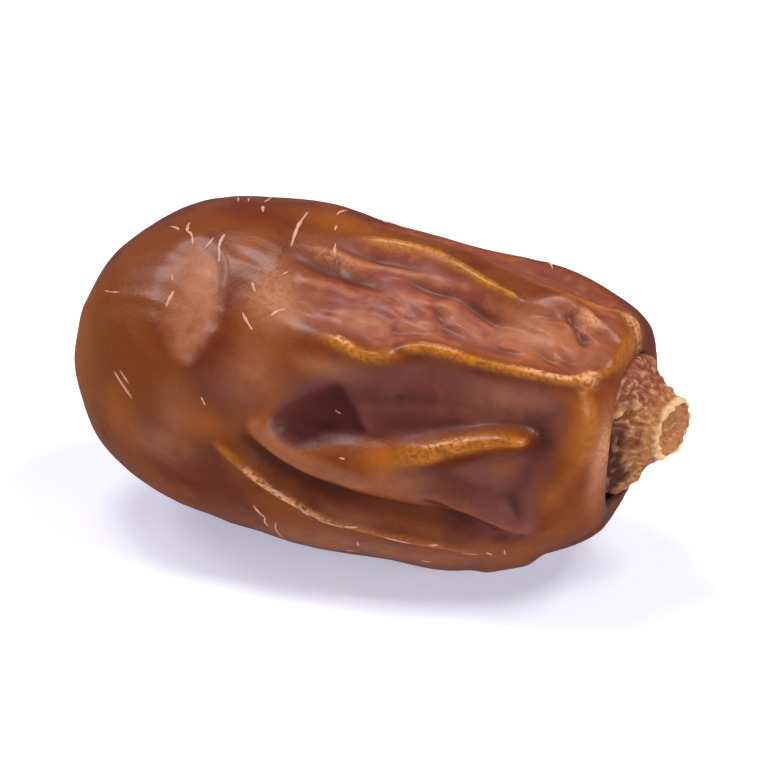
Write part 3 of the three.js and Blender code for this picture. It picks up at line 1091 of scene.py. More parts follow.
def show(mesh: bpy.types.Mesh, material: bpy.types.Material) -> bpy.types.Object:
    """Put a finished mesh in the scene as a piece that rides on the date.

    Args:
        mesh: the mesh, in metres and in place.
        material: its finish.

    Returns:
        The piece.
    """
    piece = bpy.data.objects.new(mesh.name, mesh)
    bpy.context.scene.collection.objects.link(piece)
    mesh.materials.append(material)
    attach(piece, BODY)
    return piece


def linear(hex_colour: str) -> tuple[float, float, float, float]:
    """Turn an sRGB hex colour into a linear one.

    Args:
        hex_colour: the colour, such as #c87c1c.

    Returns:
        Linear red, green, blue and alpha.
    """
    parts = [int(hex_colour[place : place + 2], 16) / 255 for place in (1, 3, 5)]
    curve = [part / 12.92 if part <= 0.04045 else ((part + 0.055) / 1.055) ** 2.4 for part in parts]
    return (*curve, 1)


def blank_material(name: str) -> bpy.types.Material:
    """Make a material that has no nodes yet.

    Args:
        name: the material's name.

    Returns:
        The material.
    """
    material = bpy.data.materials.new(name)
    material.use_nodes = True
    material.node_tree.nodes.clear()
    return material


def add_node(
    tree: bpy.types.NodeTree, kind: str, inputs: dict[str | int, Input], **settings: object
) -> bpy.types.Node:
    """Add a shader node.

    Args:
        tree: the material's node tree.
        kind: the node's type, without ShaderNode before it.
        inputs: a value or another node's output for each input named here.
        settings: the node's own properties.

    Returns:
        The node.
    """
    node = tree.nodes.new("ShaderNode" + kind)
    for name, value in settings.items():
        setattr(node, name, value)
    for name, value in inputs.items():
        if isinstance(value, bpy.types.NodeSocket):
            tree.links.new(value, node.inputs[name])
        else:
            node.inputs[name].default_value = value
    return node


def per_metre(millimetres: float) -> float:
    """Texture scale that gives features of a size."""
    return 1 / (millimetres * MM)


MIX_FACTOR, MIX_A, MIX_B, MIX_RESULT = 0, 6, 7, 2


@dataclass(frozen=True)
class DriedDateSkin:
    """Semi-dry date skin: a thin waxy film over translucent syrupy flesh.

    The film gives a broad soft gloss. Light goes into the flesh under it, so the thin folds glow
    golden, and where the skin has sunk on to the dark flesh it is purple brown. Where the film has
    rubbed off or dried into wrinkles, the gloss is duller.
    """

    base: str = "#86400b"
    russet: str = "#6e2a09"
    amber: str = "#ae5c08"
    gold: str = "#c87c1c"
    dull_gold: str = "#a45c0a"
    plum: str = "#5e2019"
    wine: str = "#803628"
    wine_light: str = "#8e4636"
    rose: str = "#904834"
    rose_light: str = "#ae5e3e"
    mauve: str = "#753c33"
    mauve_light: str = "#8a4a3c"
    # Painted shade: the dark colour laid in creases and hollows.
    crease: str = "#421806"
    # Milky colour: partly the skin's bloom, partly painted sheen and reflections.
    bloom_and_sheen: str = "#bc7852"
    # Pale colour: painted highlights on ridges and shoulders, and pale dry skin.
    pale: str = "#e8a874"
    scar: str = "#24100a"
    roughness: float = 0.4
    bloom_and_sheen_roughness: float = 0.5
    wax: float = 0.3
    dulled_wax: float = 0.17
    film_roughness: float = 0.22
    syrup_ior: float = 1.45
    specular_level: float = 0.3
    glow: float = 0.3
    glow_depth: float = 1.6
    relief: float = 0.1
    relief_strength: float = 0.35
    # The widths of the patterns. Real pores and specks of wax are under 0.1 mm, too fine to show in
    # the render, so they are drawn as coarse as they need to be.
    blotch: float = 5.0
    mottle: float = 1.1
    pucker: float = 0.55
    pore: float = 0.22
    speck: float = 0.25

    def build(self) -> bpy.types.Material:
        """Make the material.

        Returns:
            The material, which reads the skin's masks.
        """
        material = blank_material("waxy semi-dry date skin")
        tree = material.node_tree
        place = add_node(tree, "TexCoord", {}).outputs["Object"]
        mask = {
            tint: add_node(tree, "Attribute", {}, attribute_name=tint.value).outputs["Fac"] for tint in Tint
        }
        blotches, mottles, puckers, pores, specks = (
            add_node(
                tree, "TexNoise", {"Vector": place, "Scale": per_metre(size), "Detail": detail}
            ).outputs["Fac"]
            for size, detail in (
                (self.blotch, 3),
                (self.mottle, 4),
                (self.pucker, 3),
                (self.pore, 2),
                (self.speck, 3),
            )
        )
        ruddy, speckled, grazed, grainy, worn = (
            add_node(
                tree,
                "MapRange",
                {"Value": clouds, "From Min": start, "From Max": end, "To Min": least},
                interpolation_type="SMOOTHSTEP",
            ).outputs["Result"]
            for clouds, start, end, least in (
                (blotches, 0.42, 0.62, 0),
                (mottles, 0.45, 0.7, 0),
                (mottles, 0.2, 0.55, 0.5),
                (specks, 0.32, 0.6, 0),
                (mottles, 0.38, 0.58, 0.6),
            )
        )
        # The milky and pale masks carry painted sheen and painted highlights as well as bloom and pale dry
        # skin.
        bloom_and_sheen_share, pale_and_glint_share, gilded = (
            add_node(tree, "Math", {0: mask[tint], 1: grain}, operation="MULTIPLY").outputs[0]
            for tint, grain in ((Tint.BLOOM_AND_SHEEN, grazed), (Tint.PALE_AND_GLINT, grainy), (Tint.GOLD, worn))
        )
        wine, rose, mauve, gold = (
            add_node(
                tree, "Mix", {MIX_FACTOR: grain, MIX_A: linear(one), MIX_B: linear(other)}, data_type="RGBA"
            ).outputs[MIX_RESULT]
            for grain, one, other in (
                (speckled, self.wine, self.wine_light),
                (speckled, self.rose, self.rose_light),
                (ruddy, self.mauve, self.mauve_light),
                (grainy, self.dull_gold, self.gold),
            )
        )
        colour = linear(self.base)
        for share_of_layer, layer in (
            (ruddy, linear(self.russet)),
            (mask[Tint.ROSE], rose),
            (mask[Tint.MAUVE], mauve),
            (mask[Tint.WINE], wine),
            (mask[Tint.PLUM], linear(self.plum)),
            (mask[Tint.AMBER], linear(self.amber)),
            (mask[Tint.CREASE], linear(self.crease)),
            (gilded, gold),
            (bloom_and_sheen_share, linear(self.bloom_and_sheen)),
            (pale_and_glint_share, linear(self.pale)),
            (mask[Tint.SCAR], linear(self.scar)),
        ):
            mix = add_node(
                tree, "Mix", {MIX_FACTOR: share_of_layer, MIX_A: colour, MIX_B: layer}, data_type="RGBA"
            )
            colour = mix.outputs[MIX_RESULT]
        matt = bloom_and_sheen_share
        for tint in (Tint.ROSE, Tint.MAUVE):
            matt = add_node(tree, "Math", {0: matt, 1: mask[tint]}, operation="MAXIMUM").outputs[0]
        rough, waxed = (
            add_node(tree, "MapRange", {"Value": matt, "To Min": plain, "To Max": dulled}).outputs["Result"]
            for plain, dulled in ((self.roughness, self.bloom_and_sheen_roughness), (self.wax, self.dulled_wax))
        )
        height = add_node(tree, "Math", {0: puckers, 1: pores}, operation="ADD")
        bump = add_node(
            tree,
            "Bump",
            {
                "Height": height.outputs[0],
                "Strength": self.relief_strength,
                "Distance": self.relief * MM,
            },
        )
        shader = add_node(
            tree,
            "BsdfPrincipled",
            {
                "Base Color": colour,
                "Roughness": rough,
                "Normal": bump.outputs["Normal"],
                "IOR": self.syrup_ior,
                "Subsurface Weight": self.glow,
                "Subsurface Scale": self.glow_depth * MM,
                "Subsurface Radius": (1.0, 0.5, 0.18),
                "Specular IOR Level": self.specular_level,
                "Coat Weight": waxed,
                "Coat Roughness": self.film_roughness,
            },
        )
        add_node(tree, "OutputMaterial", {"Surface": shader.outputs["BSDF"]})
        return material


@dataclass(frozen=True)
class Fruit:
    """The skin and flesh of the date, as one closed mesh.

    Its tip, rim and hollow are given as shares of its length. A crest is the height of the skin over
    the mean of what is round it. The crests add gold, and on the rose skin a painted sheen, and the
    hollows add painted shade.
    """

    sizes: FruitSizes
    rows: int = 246
    steps: int = 98
    cuts: int = 3
    profile_steps: int = 900
    tip: float = 0.06
    rim: float = 0.985
    hollow: float = 0.9
    hollow_margin: float = 0.4
    tuck: float = 0.25
    tuck_radii: tuple[float, float] = (6.4, 5.2)
    crest_rounds: int = 60
    crest_height: float = 0.2
    gold_on_crests: float = 0.15
    painted_sheen_on_crests: float = 0.7
    shade_in_hollows: float = 0.6

    def profile(self) -> Array:
        """Lay out the plain body's profile.

        Returns:
            Stations and radii from the blossom tip, over the skin and into the stem hollow.
        """
        sizes = self.sizes
        knots = np.array(sizes.outline) * (sizes.length, sizes.greatest_radius)
        fine = smooth_line(knots, closed=False, steps=self.profile_steps)
        run = np.concatenate([[0], np.cumsum(np.linalg.norm(np.diff(fine, axis=0), axis=1))])
        even = np.linspace(0, run[-1], self.rows)
        skin = np.column_stack([np.interp(even, run, fine[:, axis]) for axis in (0, 1)])
        floor = sizes.length - sizes.seat_depth
        seat = [
            (sizes.length - 0.05, sizes.seat_radius + 0.15),
            (sizes.length - 0.2, sizes.seat_radius - 0.08),
            (sizes.length - 0.5, sizes.seat_radius - 0.17),
            (floor + 0.15, sizes.seat_radius - 0.17),
            (floor, sizes.seat_radius - 0.3),
            (floor, sizes.seat_radius / 2),
            (floor, 0),
        ]
        skin[0, 1] = 0
        return np.vstack([skin, seat])

    def build(self, material: bpy.types.Material) -> bpy.types.Object:
        """Model the fruit and dress it.

        Args:
            material: the skin's finish.

        Returns:
            The piece, which replaces the plain solid.
        """
        sizes = self.sizes
        mesh = turned_mesh("date_skin", self.profile(), self.steps, self.cuts)
        places, normals = get_places(mesh), get_places(mesh, "normal")
        station, angle = places[:, 0].copy(), clock_angle(places)
        radius = np.hypot(places[:, 1], places[:, 2])
        relief, masks = SkinMap(sizes).at(station, angle)
        ends = share(station, 0, self.tip * sizes.length)
        ends = ends * share(station, sizes.length, self.rim * sizes.length)
        in_hollow = (station > self.hollow * sizes.length) & (radius < sizes.seat_radius + self.hollow_margin)
        ends[in_hollow] = 0
        places += normals * (ends * relief)[:, None]
        lip = share(radius, *self.tuck_radii) * smooth_share(station, sizes.length - 0.6, sizes.length - 0.1)
        turn = np.radians(angle)
        tuck = self.tuck * lip * (1 + np.sin(5 * turn + 2 * np.sin(2 * turn))) / 2
        places[:, 1:] *= (1 - tuck / np.maximum(radius, 1))[:, None]
        in_wall = share(station, sizes.length - sizes.seat_depth + 0.2, sizes.length - 0.2)
        places[:, 0] += sizes.lip(station, angle) * np.where(in_hollow, in_wall, 1)
        places[:, 0] += sizes.slanted(station, places[:, 2])
        places[:, 2] = sizes.rested(places[:, 2] + sizes.axis_height + sizes.rise(station))
        places[:, 0] += sizes.start
        set_places(mesh, places * MM)
        crest = relief - neighbour_mean(mesh, relief, self.crest_rounds)
        standing = smooth_share(crest, 0.2 * self.crest_height, self.crest_height)
        sunken = smooth_share(-crest, 0.2 * self.crest_height, 1.5 * self.crest_height)
        # On the rose skin, crests take the milky tint as a painted sheen, and hollows take the crease tint as
        # painted shade.
        for tint, stain in (
            (Tint.GOLD, self.gold_on_crests * standing * (1 - masks[Tint.ROSE])),
            (Tint.BLOOM_AND_SHEEN, self.painted_sheen_on_crests * standing * masks[Tint.ROSE]),
            (Tint.CREASE, self.shade_in_hollows * sunken),
        ):
            masks[tint] = np.maximum(masks[tint], stain)
        # The stem hollow's wall is painted fully dark as shade.
        masks[Tint.CREASE][in_hollow] = 1
        for tint, values in masks.items():
            mask_onto(mesh, tint.value, values)
        piece = show(mesh, material)
        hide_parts("fruit")
        return piece


@dataclass(frozen=True)
class Fleck:
    """One pale crack in the skin, or a pale sliver that paints a glint, from one spot to another, with its
    width in the middle.
    """

    start: Spot
    end: Spot
    width: float = 0.16
    bow: float = 0.0


FRONT_FLECKS_AND_GLINTS = (
    Fleck(Spot(14.9, -4), Spot(15.4, 18), 0.23, 0.02),
    Fleck(Spot(16.5, -18), Spot(16.5, -8), 0.16, 0.05),
    Fleck(Spot(17.1, 0), Spot(17.3, 4), 0.15),
    Fleck(Spot(17.7, 9), Spot(18.1, 15), 0.18, 0.04),
    Fleck(Spot(11.4, -18), Spot(11.6, -8), 0.18, -0.05),
    Fleck(Spot(11.9, -3), Spot(12.3, 2), 0.18),
    Fleck(Spot(9.5, -13), Spot(10.1, -5), 0.13),
    Fleck(Spot(10.3, -12), Spot(10.7, -6), 0.11),
    Fleck(Spot(6.4, 10), Spot(7.5, 15), 0.16, -0.05),
    Fleck(Spot(8, 11), Spot(8.4, 18), 0.2, 0.1),
    Fleck(Spot(8.3, 17), Spot(9.1, 24), 0.18, -0.08),
    Fleck(Spot(10.4, 21), Spot(9.8, 27), 0.16, -0.1),
    Fleck(Spot(11, 19), Spot(11.1, 26), 0.25, 0.06),
    Fleck(Spot(11, 25), Spot(11.4, 31), 0.2, -0.06),
    Fleck(Spot(8.5, 37.5), Spot(8.7, 40), 0.13),
    Fleck(Spot(9, 44), Spot(8.8, 50.5), 0.23, 0.04),
    Fleck(Spot(3.4, 41), Spot(4.9, 44), 0.13, 0.05),
    Fleck(Spot(14, 47.5), Spot(14.9, 52.5), 0.16, 0.03),
    Fleck(Spot(16.5, 42), Spot(15.8, 46), 0.18, 0.08),
    Fleck(Spot(14, 36), Spot(14.4, 39.5), 0.16),
    Fleck(Spot(15.6, 30), Spot(15.9, 28), 0.11),
    Fleck(Spot(5.7, 78), Spot(7.3, 86.5), 0.18, 0.01),
    Fleck(Spot(6.2, 77), Spot(7, 81), 0.1),
    Fleck(Spot(12.3, 79), Spot(12.6, 81.5), 0.16),
    Fleck(Spot(15.3, 118.5), Spot(15.9, 124), 0.15, 0.05),
    Fleck(Spot(15.9, 124), Spot(15.7, 132), 0.13, 0.08),
    Fleck(Spot(16.6, 125), Spot(16.3, 141), 0.14, 0.08),
    # The next twelve slivers, along the channel's lip and below it, are painted highlights: cream streaks for
    # light glinting on the lip's crest.
    Fleck(Spot(16.4, 104), Spot(18.2, 108.5), 0.16, -0.02),
    Fleck(Spot(18.7, 110), Spot(19.3, 114), 0.15),
    Fleck(Spot(19.8, 115), Spot(21.4, 116.5), 0.15, 0.02),
    Fleck(Spot(21.5, 116), Spot(22.4, 115.5), 0.15),
    Fleck(Spot(24, 118), Spot(25.7, 120), 0.12),
    Fleck(Spot(26.7, 120.5), Spot(27.4, 121), 0.11),
    Fleck(Spot(28.4, 130), Spot(29.4, 132), 0.13),
    Fleck(Spot(30, 130), Spot(30.3, 132.5), 0.13),
    Fleck(Spot(31.1, 130), Spot(31, 134), 0.11),
    Fleck(Spot(21.7, 129), Spot(21.6, 134), 0.15),
    Fleck(Spot(20.3, 141), Spot(21.1, 140), 0.11),
    Fleck(Spot(25.6, 136), Spot(26.2, 137), 0.11),
    Fleck(Spot(20.5, 73.5), Spot(20.9, 74.5), 0.13),
    Fleck(Spot(21.5, 88), Spot(21.9, 88), 0.1),
)


@dataclass(frozen=True)
class CrackedSkin:
    """Dry lifted skin along a crack: papery and cream coloured, so it is matt and catches light."""

    # The same cream also paints the glints along the channel's lip.
    cream: str = "#efb49a"
    tan: str = "#c98a68"
    roughness: float = 0.6
    glow: float = 0.1
    glow_depth: float = 0.5
    grain: float = 0.5

    def build(self) -> bpy.types.Material:
        """Make the material.

        Returns:
            The material.
        """
        material = blank_material("papery cracked date skin")
        tree = material.node_tree
        place = add_node(tree, "TexCoord", {}).outputs["Object"]
        clouds = add_node(tree, "TexNoise", {"Vector": place, "Scale": per_metre(self.grain), "Detail": 2})
        colour = add_node(
            tree,
            "Mix",
            {MIX_FACTOR: clouds.outputs["Fac"], MIX_A: linear(self.cream), MIX_B: linear(self.tan)},
            data_type="RGBA",
        ).outputs[MIX_RESULT]
        shader = add_node(
            tree,
            "BsdfPrincipled",
            {
                "Base Color": colour,
                "Roughness": self.roughness,
                "Subsurface Weight": self.glow,
                "Subsurface Scale": self.glow_depth * MM,
            },
        )
        add_node(tree, "OutputMaterial", {"Surface": shader.outputs["BSDF"]})
        return material


@dataclass(frozen=True)
class CracksAndGlints:
    """The pale cracks, each a thin closed sliver half sunk in the skin, and painted highlights along the
    channel's lip made the same way.
    """

    sizes: FruitSizes
    sides: int = 8
    rings: int = 11
    thickness: float = 0.1
    lift: float = 0.01
    raggedness: float = 0.9
    hidden_side_count: int = 40
    seed: int = 11
    ray_start: float = 20

    def flecks(self) -> list[Fleck]:
        """List the cracks.

        Returns:
            The front's, which are listed, and a seeded draw of the other sides'.
        """
        draw = random.Random(self.seed)
        others = []
        for _ in range(self.hidden_side_count):
            start = Spot(draw.uniform(4, 31), draw.uniform(-175, -15))
            heading = math.radians(draw.choice((-68, 60)) + draw.uniform(-18, 18))
            length = draw.uniform(0.6, 2)
            reach = length * math.sin(heading) / MM_PER_DEGREE
            end = Spot(start.station + length * math.cos(heading), start.angle + reach)
            others.append(Fleck(start, end, draw.uniform(0.14, 0.24), draw.uniform(-0.08, 0.08)))
        return [*FRONT_FLECKS_AND_GLINTS, *others]

    def on_skin(self, surface: BVHTree, station: float, angle: float, height: float) -> Vector:
        """Find the place over the skin at a spot.

        Args:
            surface: the skin's faces.
            station: distance from the blossom tip.
            angle: clock angle.
            height: height over the skin.

        Returns:
            The place, in metres.
        """
        turn = math.radians(angle)
        outward = Vector((0, -math.sin(turn), math.cos(turn)))
        axis_height = self.sizes.axis_height + float(self.sizes.rise(np.float64(station)))
        axis = Vector((station + self.sizes.start, 0, axis_height)) * MM
        spot, normal, _, _ = surface.ray_cast(axis + outward * self.ray_start * MM, -outward)
        return spot + normal * height * MM

    def build(self, skin: bpy.types.Object, material: bpy.types.Material) -> bpy.types.Object:
        """Model the cracks as one piece.

        Args:
            skin: the skin that they lie on.
            material: their finish.

        Returns:
            The piece.
        """
        surface = BVHTree.FromObject(skin, bpy.context.evaluated_depsgraph_get())
        shape = bmesh.new()
        for fleck in self.flecks():
            made = bmesh.ops.create_uvsphere(shape, u_segments=self.sides, v_segments=self.rings, radius=1)
            run = Vector((fleck.end.station - fleck.start.station, 0))
            run.y = (fleck.end.angle - fleck.start.angle) * MM_PER_DEGREE
            side = run.orthogonal().normalized()
            for vert in made["verts"]:
                across, lift, along = vert.co
                tear = noise.noise(Vector((*fleck.start, along * run.length * 1.5)))
                ragged = 1 + self.raggedness * tear
                offset = across * fleck.width / 2 * ragged + fleck.bow * run.length * (1 - along * along)
                place = run * (1 + along) / 2 + side * offset
                station = fleck.start.station + place.x
                angle = fleck.start.angle + place.y / MM_PER_DEGREE
                vert.co = self.on_skin(surface, station, angle, lift * self.thickness / 2 + self.lift)
        return show(finished_mesh("date_skin_cracks_and_glints", shape), material)


@dataclass(frozen=True)
class DryCalyx:
    """Dry palm calyx: woody fibres that have dried to straw, redder on the backs of its lobes.

    Broken fibres give it a coarse matt grain along its length, and its torn rim is palest.
    """

    straw: str = "#ae6d2e"
    pale: str = "#f0c088"
    russet: str = "#8f3d25"
    # Painted shade in the crevices between crumbs.
    crevice_shade: str = "#52200e"
    # Painted shade in the gap between the cup's foot and the fruit.
    root: str = "#57200f"
    core: str = "#c08050"
    roughness: float = 0.6
    glow: float = 0.15
    glow_depth: float = 0.6
    relief: float = 0.14
    relief_strength: float = 0.8
    # Real fibres are about 0.1 mm wide, too fine to show in the render, so they are drawn coarser.
    fibre: float = 0.3
    fibre_stretch: float = 4
    grit: float = 0.5

    def build(self) -> bpy.types.Material:
        """Make the material.

        Returns:
            The material, which reads the calyx's masks.
        """
        material = blank_material("dry fibrous calyx")
        tree = material.node_tree
        place = add_node(tree, "TexCoord", {}).outputs["Object"]
        lobe, crumb, crevice_shade, rim, hollow, root = (
            add_node(tree, "Attribute", {}, attribute_name=wear.value).outputs["Fac"] for wear in Wear
        )
        along = (1 / self.fibre_stretch, 1, 1)
        stretched = add_node(tree, "Mapping", {"Vector": place, "Scale": along}).outputs["Vector"]
        fibres, grit = (
            add_node(
                tree, "TexNoise", {"Vector": where, "Scale": per_metre(size), "Detail": detail}
            ).outputs["Fac"]
            for where, size, detail in ((stretched, self.fibre, 4), (place, self.grit, 3))
        )
        light, specks = (
            add_node(
                tree,
                "MapRange",
                {"Value": grain, "From Min": start, "From Max": end},
                interpolation_type="SMOOTHSTEP",
            ).outputs["Result"]
            for grain, start, end in ((fibres, 0.42, 0.9), (grit, 0.5, 0.75))
        )
        colour = linear(self.straw)
        for share_of_layer, layer in (
            (lobe, self.russet),
            (light, self.pale),
            (specks, self.russet),
            (crumb, self.pale),
            (crevice_shade, self.crevice_shade),
            (rim, self.pale),
            (hollow, self.core),
            (root, self.root),
        ):
            mix = add_node(
                tree,
                "Mix",
                {MIX_FACTOR: share_of_layer, MIX_A: colour, MIX_B: linear(layer)},
                data_type="RGBA",
            )
            colour = mix.outputs[MIX_RESULT]
        height = add_node(tree, "Math", {0: fibres, 1: grit}, operation="ADD")
        bump = add_node(
            tree,
            "Bump",
            {
                "Height": height.outputs[0],
                "Strength": self.relief_strength,
                "Distance": self.relief * MM,
            },
        )
        shader = add_node(
            tree,
            "BsdfPrincipled",
            {
                "Base Color": colour,
                "Normal": bump.outputs["Normal"],
                "Roughness": self.roughness,
                "Subsurface Weight": self.glow,
                "Subsurface Scale": self.glow_depth * MM,
            },
        )
        add_node(tree, "OutputMaterial", {"Surface": shader.outputs["BSDF"]})
        return material


@dataclass(frozen=True)
class Calyx:
    """The cap that the date hung by: a three-lobed cup with the broken stalk standing out of it.

    It stands in the fruit's stem hollow, and its stations start at the hollow's mouth. The gap is the
    side on which the cup has shrunk away from the fruit, and its foot on that side is painted dark
    as shade.
    """

    sizes: FruitSizes
    side: tuple[tuple[float, float], ...] = (
        (-0.9, 4.05), (-0.4, 4.6), (0.1, 4.75), (0.5, 4.35), (1.05, 3.6), (1.7, 2.85), (2.3, 2.25),
        (2.75, 2), (3.03, 1.95), (3.15, 1.74), (3.08, 1.5), (2.8, 1.3),
    )
    top: float = 3.15
    foot: float = 0.95
    foot_radius: float = 2.6
    hollow_floor: float = 2.6
    hollow_radius: float = 0.9
    rows: int = 110
    steps: int = 55
    cuts: int = 3
    lean: float = 0.5
    oblique: float = 0.2
    clefts: tuple[float, ...] = (-65, 52, 178)
    cleft_width: float = 13
    cleft_depth: float = 0.4
    rib_count: int = 17
    rib_height: float = 0.05
    gap_angle: float = 116
    gap: float = 0.8
    crumb_height: float = 1.3
    fibre_height: float = 0.2

    def profile(self) -> Array:
        """Lay out the plain calyx.

        Returns:
            Stations and radii, over the side and into the stalk's hollow end.
        """
        side = smooth_line(np.array(self.side), closed=False, steps=self.rows)
        start = [(-self.foot, 0), (-self.foot, self.foot_radius)]
        return np.vstack([*start, side, (self.hollow_floor, self.hollow_radius), (self.hollow_floor, 0)])

    def build(self, material: bpy.types.Material) -> bpy.types.Object:
        """Model the calyx and dress it.

        Args:
            material: its finish.

        Returns:
            The piece, which replaces the plain solid.
        """
        sizes = self.sizes
        mesh = turned_mesh("date_calyx", self.profile(), self.steps, self.cuts)
        places, normals = get_places(mesh), get_places(mesh, "normal")
        angle = clock_angle(places)
        turn = np.radians(angle)
        station = places[:, 0].copy()
        radius = np.hypot(places[:, 1], places[:, 2])
        outside = radius > np.interp(station, (2.3, self.top), (1.4, 1.7))
        open_air = smooth_share(station, -0.1, 0.5)
        on_stalk = smooth_share(station, 1.5, 2.3)
        cleft = sum(
            np.exp(-((degrees_from(angle, middle) / self.cleft_width) ** 2)) for middle in self.clefts
        )
        push = -self.cleft_depth * cleft * open_air * (1 - 0.6 * on_stalk)
        facing_gap = np.cos(turn - math.radians(self.gap_angle))
        push -= self.gap * smooth_share(facing_gap, 0.2, 0.95) * (1 - on_stalk)
        push += self.rib_height * open_air * np.sin(self.rib_count * turn + 2.2 * np.sin(3 * turn))
        lumps, fibres = np.array(
            [
                (
                    abs(noise.noise(Vector((x / 1.2, y / 0.8, z / 0.8)))),
                    noise.noise(Vector((x / 1.6 + 9, y / 0.4, z / 0.4))),
                )
                for x, y, z in places
            ]
        ).T
        low = (1 - smooth_share(station, 1.1, 1.8)) * smooth_share(facing_gap, 0.45, 0.75)
        crumbly = open_air * (1 - smooth_share(station, 1, 2)) * (0.25 + 0.75 * share(facing_gap, -0.2, 0.6))
        crumbly *= 1 - 0.6 * low
        crumbs = self.crumb_height * crumbly * (np.minimum(lumps, 0.45) - 0.2)
        push += crumbs + self.fibre_height * open_air * fibres
        places += normals * np.where(outside, push, 0.5 * push)[:, None]
        places[:, 2] += self.lean * smooth_share(station, 0.2, self.top)
        places[:, 0] += self.oblique * places[:, 1] * smooth_share(station, 1.2, self.top)
        places[:, 0] += sizes.start + sizes.length + sizes.slanted(sizes.length + station, places[:, 2])
        places[:, 2] += sizes.axis_height + sizes.rise(np.minimum(sizes.length + station, sizes.length))
        set_places(mesh, places * MM)
        at_end = smooth_share(station, 2.6, 2.98)
        lit_lobe = np.clip(1 - cleft, 0, 1) * (1 - 0.7 * on_stalk)
        lump_crest = smooth_share(lumps, 0.22, 0.45)
        masks = {
            Wear.LOBE: lit_lobe * share(np.cos(turn), -0.4, 0.9),
            Wear.CRUMB: 0.8 * crumbly * lump_crest * smooth_share(fibres, -0.2, 0.2),
            # The low places between lumps are painted dark as shade.
            Wear.CREVICE_SHADE: 0.9 * crumbly * (1 - smooth_share(lumps, 0.0, 0.14)),
            Wear.RIM: at_end * outside * (0.6 + 0.4 * smooth_share(fibres, -0.3, 0.1)),
            Wear.HOLLOW: at_end * ~outside * (1 - smooth_share(radius, 1.3, 1.6)),
            # Painted shade: the foot is darkened on the side that faces the gap.
            Wear.ROOT: low * (1 - 0.3 * smooth_share(lumps, 0.25, 0.45)),
        }
        for wear, values in masks.items():
            mask_onto(mesh, wear.value, values)
        piece = show(mesh, material)
        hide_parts("calyx")
        return piece


@dataclass(frozen=True)
class Softbox:
    """A square light that faces the date: the way to it, its distance and width, and its power."""

    name: str
    way: tuple[float, float, float]
    distance_m: float
    width_m: float
    watts: float
    colour: str = "#ffffff"


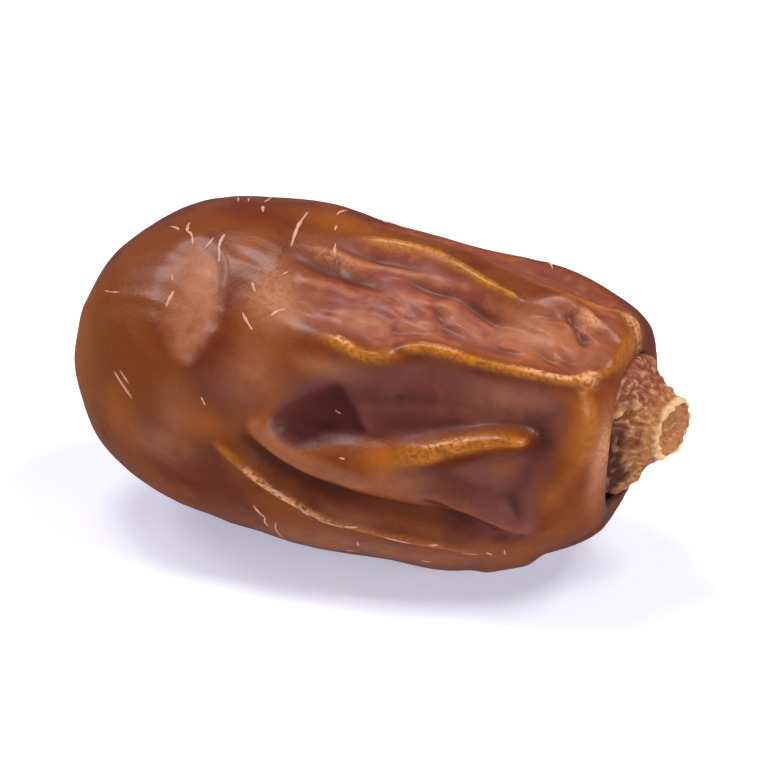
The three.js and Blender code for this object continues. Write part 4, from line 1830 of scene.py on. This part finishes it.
@dataclass(frozen=True)
class Studio:
    """The white floor, the softboxes and the camera, which aims at the date.

    The floor lies a hair under the date, so that the date's flat spot doesn't flicker with it.
    """

    sizes: FruitSizes
    softboxes: tuple[Softbox, ...] = (
        Softbox("top", (0.5, 0.0, 0.86), 0.7, 0.26, 2.6),
        Softbox("middle", (-0.3, 0.05, 0.95), 0.75, 0.26, 2.1),
        Softbox("left", (-0.75, 0.0, 0.66), 0.8, 0.3, 2.0, "#f6f0f6"),
        Softbox("right", (0.78, -0.52, 0.36), 0.8, 0.3, 1.3),
    )
    room: str = "#5f6168"
    board: str = "#eae9ec"
    board_roughness: float = 0.9
    board_glow: str = "#d8dff8"
    board_glow_strength: float = 0.55
    board_width_m: float = 6
    board_gap: float = 0.02
    azimuth: float = 22
    elevation: float = 25
    distance: float = 450
    frame_width: float = 48.12
    aim_station: float = 17.8
    aim_right: float = 2.3
    aim_up: float = -0.21
    sensor_mm: float = 36

    def build(self) -> None:
        """Set up the floor, the lights, the world and the camera."""
        self.make_floor()
        self.make_lights()
        self.make_world()
        self.make_camera()
        bpy.context.scene.view_settings.view_transform = "Standard"

    def make_floor(self) -> None:
        """Lay a wide pale floor under the date."""
        shape = bmesh.new()
        bmesh.ops.create_grid(shape, x_segments=1, y_segments=1, size=self.board_width_m / 2)
        bmesh.ops.translate(shape, verts=shape.verts, vec=(0, 0, -self.board_gap * MM))
        mesh = bpy.data.meshes.new("floor")
        shape.to_mesh(mesh)
        shape.free()
        # Painted board, lit from behind: matt, so it shows soft shadows and no reflections.
        material = blank_material("matt white board")
        shader = add_node(
            material.node_tree,
            "BsdfPrincipled",
            {
                "Base Color": linear(self.board),
                "Roughness": self.board_roughness,
                "Emission Color": linear(self.board_glow),
                "Emission Strength": self.board_glow_strength,
            },
        )
        add_node(material.node_tree, "OutputMaterial", {"Surface": shader.outputs["BSDF"]})
        mesh.materials.append(material)
        floor = bpy.data.objects.new("floor", mesh)
        bpy.context.scene.collection.objects.link(floor)
        floor.visible_glossy = False

    def make_lights(self) -> None:
        """Hang the softboxes."""
        for box in self.softboxes:
            light = bpy.data.lights.new(box.name, "AREA")
            light.energy = box.watts
            light.size = box.width_m
            light.color = linear(box.colour)[:3]
            lamp = bpy.data.objects.new(box.name, light)
            way = Vector(box.way).normalized()
            lamp.location = way * box.distance_m
            lamp.rotation_euler = way.to_track_quat("Z", "Y").to_euler()
            bpy.context.scene.collection.objects.link(lamp)

    def make_world(self) -> None:
        """Fill the room with an even cool light."""
        world = bpy.data.worlds.new("white room")
        world.use_nodes = True
        world.node_tree.nodes["Background"].inputs["Color"].default_value = linear(self.room)
        bpy.context.scene.world = world

    def make_camera(self) -> None:
        """Aim a long lens at the date from the photograph's angle."""
        azimuth, elevation = math.radians(self.azimuth), math.radians(self.elevation)
        back = Vector(
            (
                math.sin(azimuth) * math.cos(elevation),
                -math.cos(azimuth) * math.cos(elevation),
                math.sin(elevation),
            )
        )
        right = Vector((math.cos(azimuth), math.sin(azimuth), 0))
        up = back.cross(right)
        target = Vector((self.aim_station + self.sizes.start, 0, self.sizes.axis_height))
        target += self.aim_right * right + self.aim_up * up
        data = bpy.data.cameras.new("camera")
        data.sensor_width = self.sensor_mm
        data.lens = self.sensor_mm * self.distance / self.frame_width
        camera = bpy.data.objects.new("camera", data)
        turn = Matrix((right, up, back)).transposed()
        camera.matrix_world = Matrix.Translation((target + self.distance * back) * MM) @ turn.to_4x4()
        bpy.context.scene.collection.objects.link(camera)
        bpy.context.scene.camera = camera


def main() -> None:
    """Build the date and its surroundings, and report each piece."""
    logging.basicConfig(level=logging.INFO, format="%(name)s: %(message)s")
    low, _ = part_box("fruit")
    sizes = FruitSizes(start=low.x / MM)
    skin = Fruit(sizes).build(DriedDateSkin().build())
    cracks = CracksAndGlints(sizes).build(skin, CrackedSkin().build())
    calyx = Calyx(sizes).build(DryCalyx().build())
    for piece in (skin, cracks, calyx):
        LOG.info("%s: %d points, %d faces", piece.name, len(piece.data.vertices), len(piece.data.polygons))
    Studio(sizes).build()


if __name__ == "__main__":
    main()
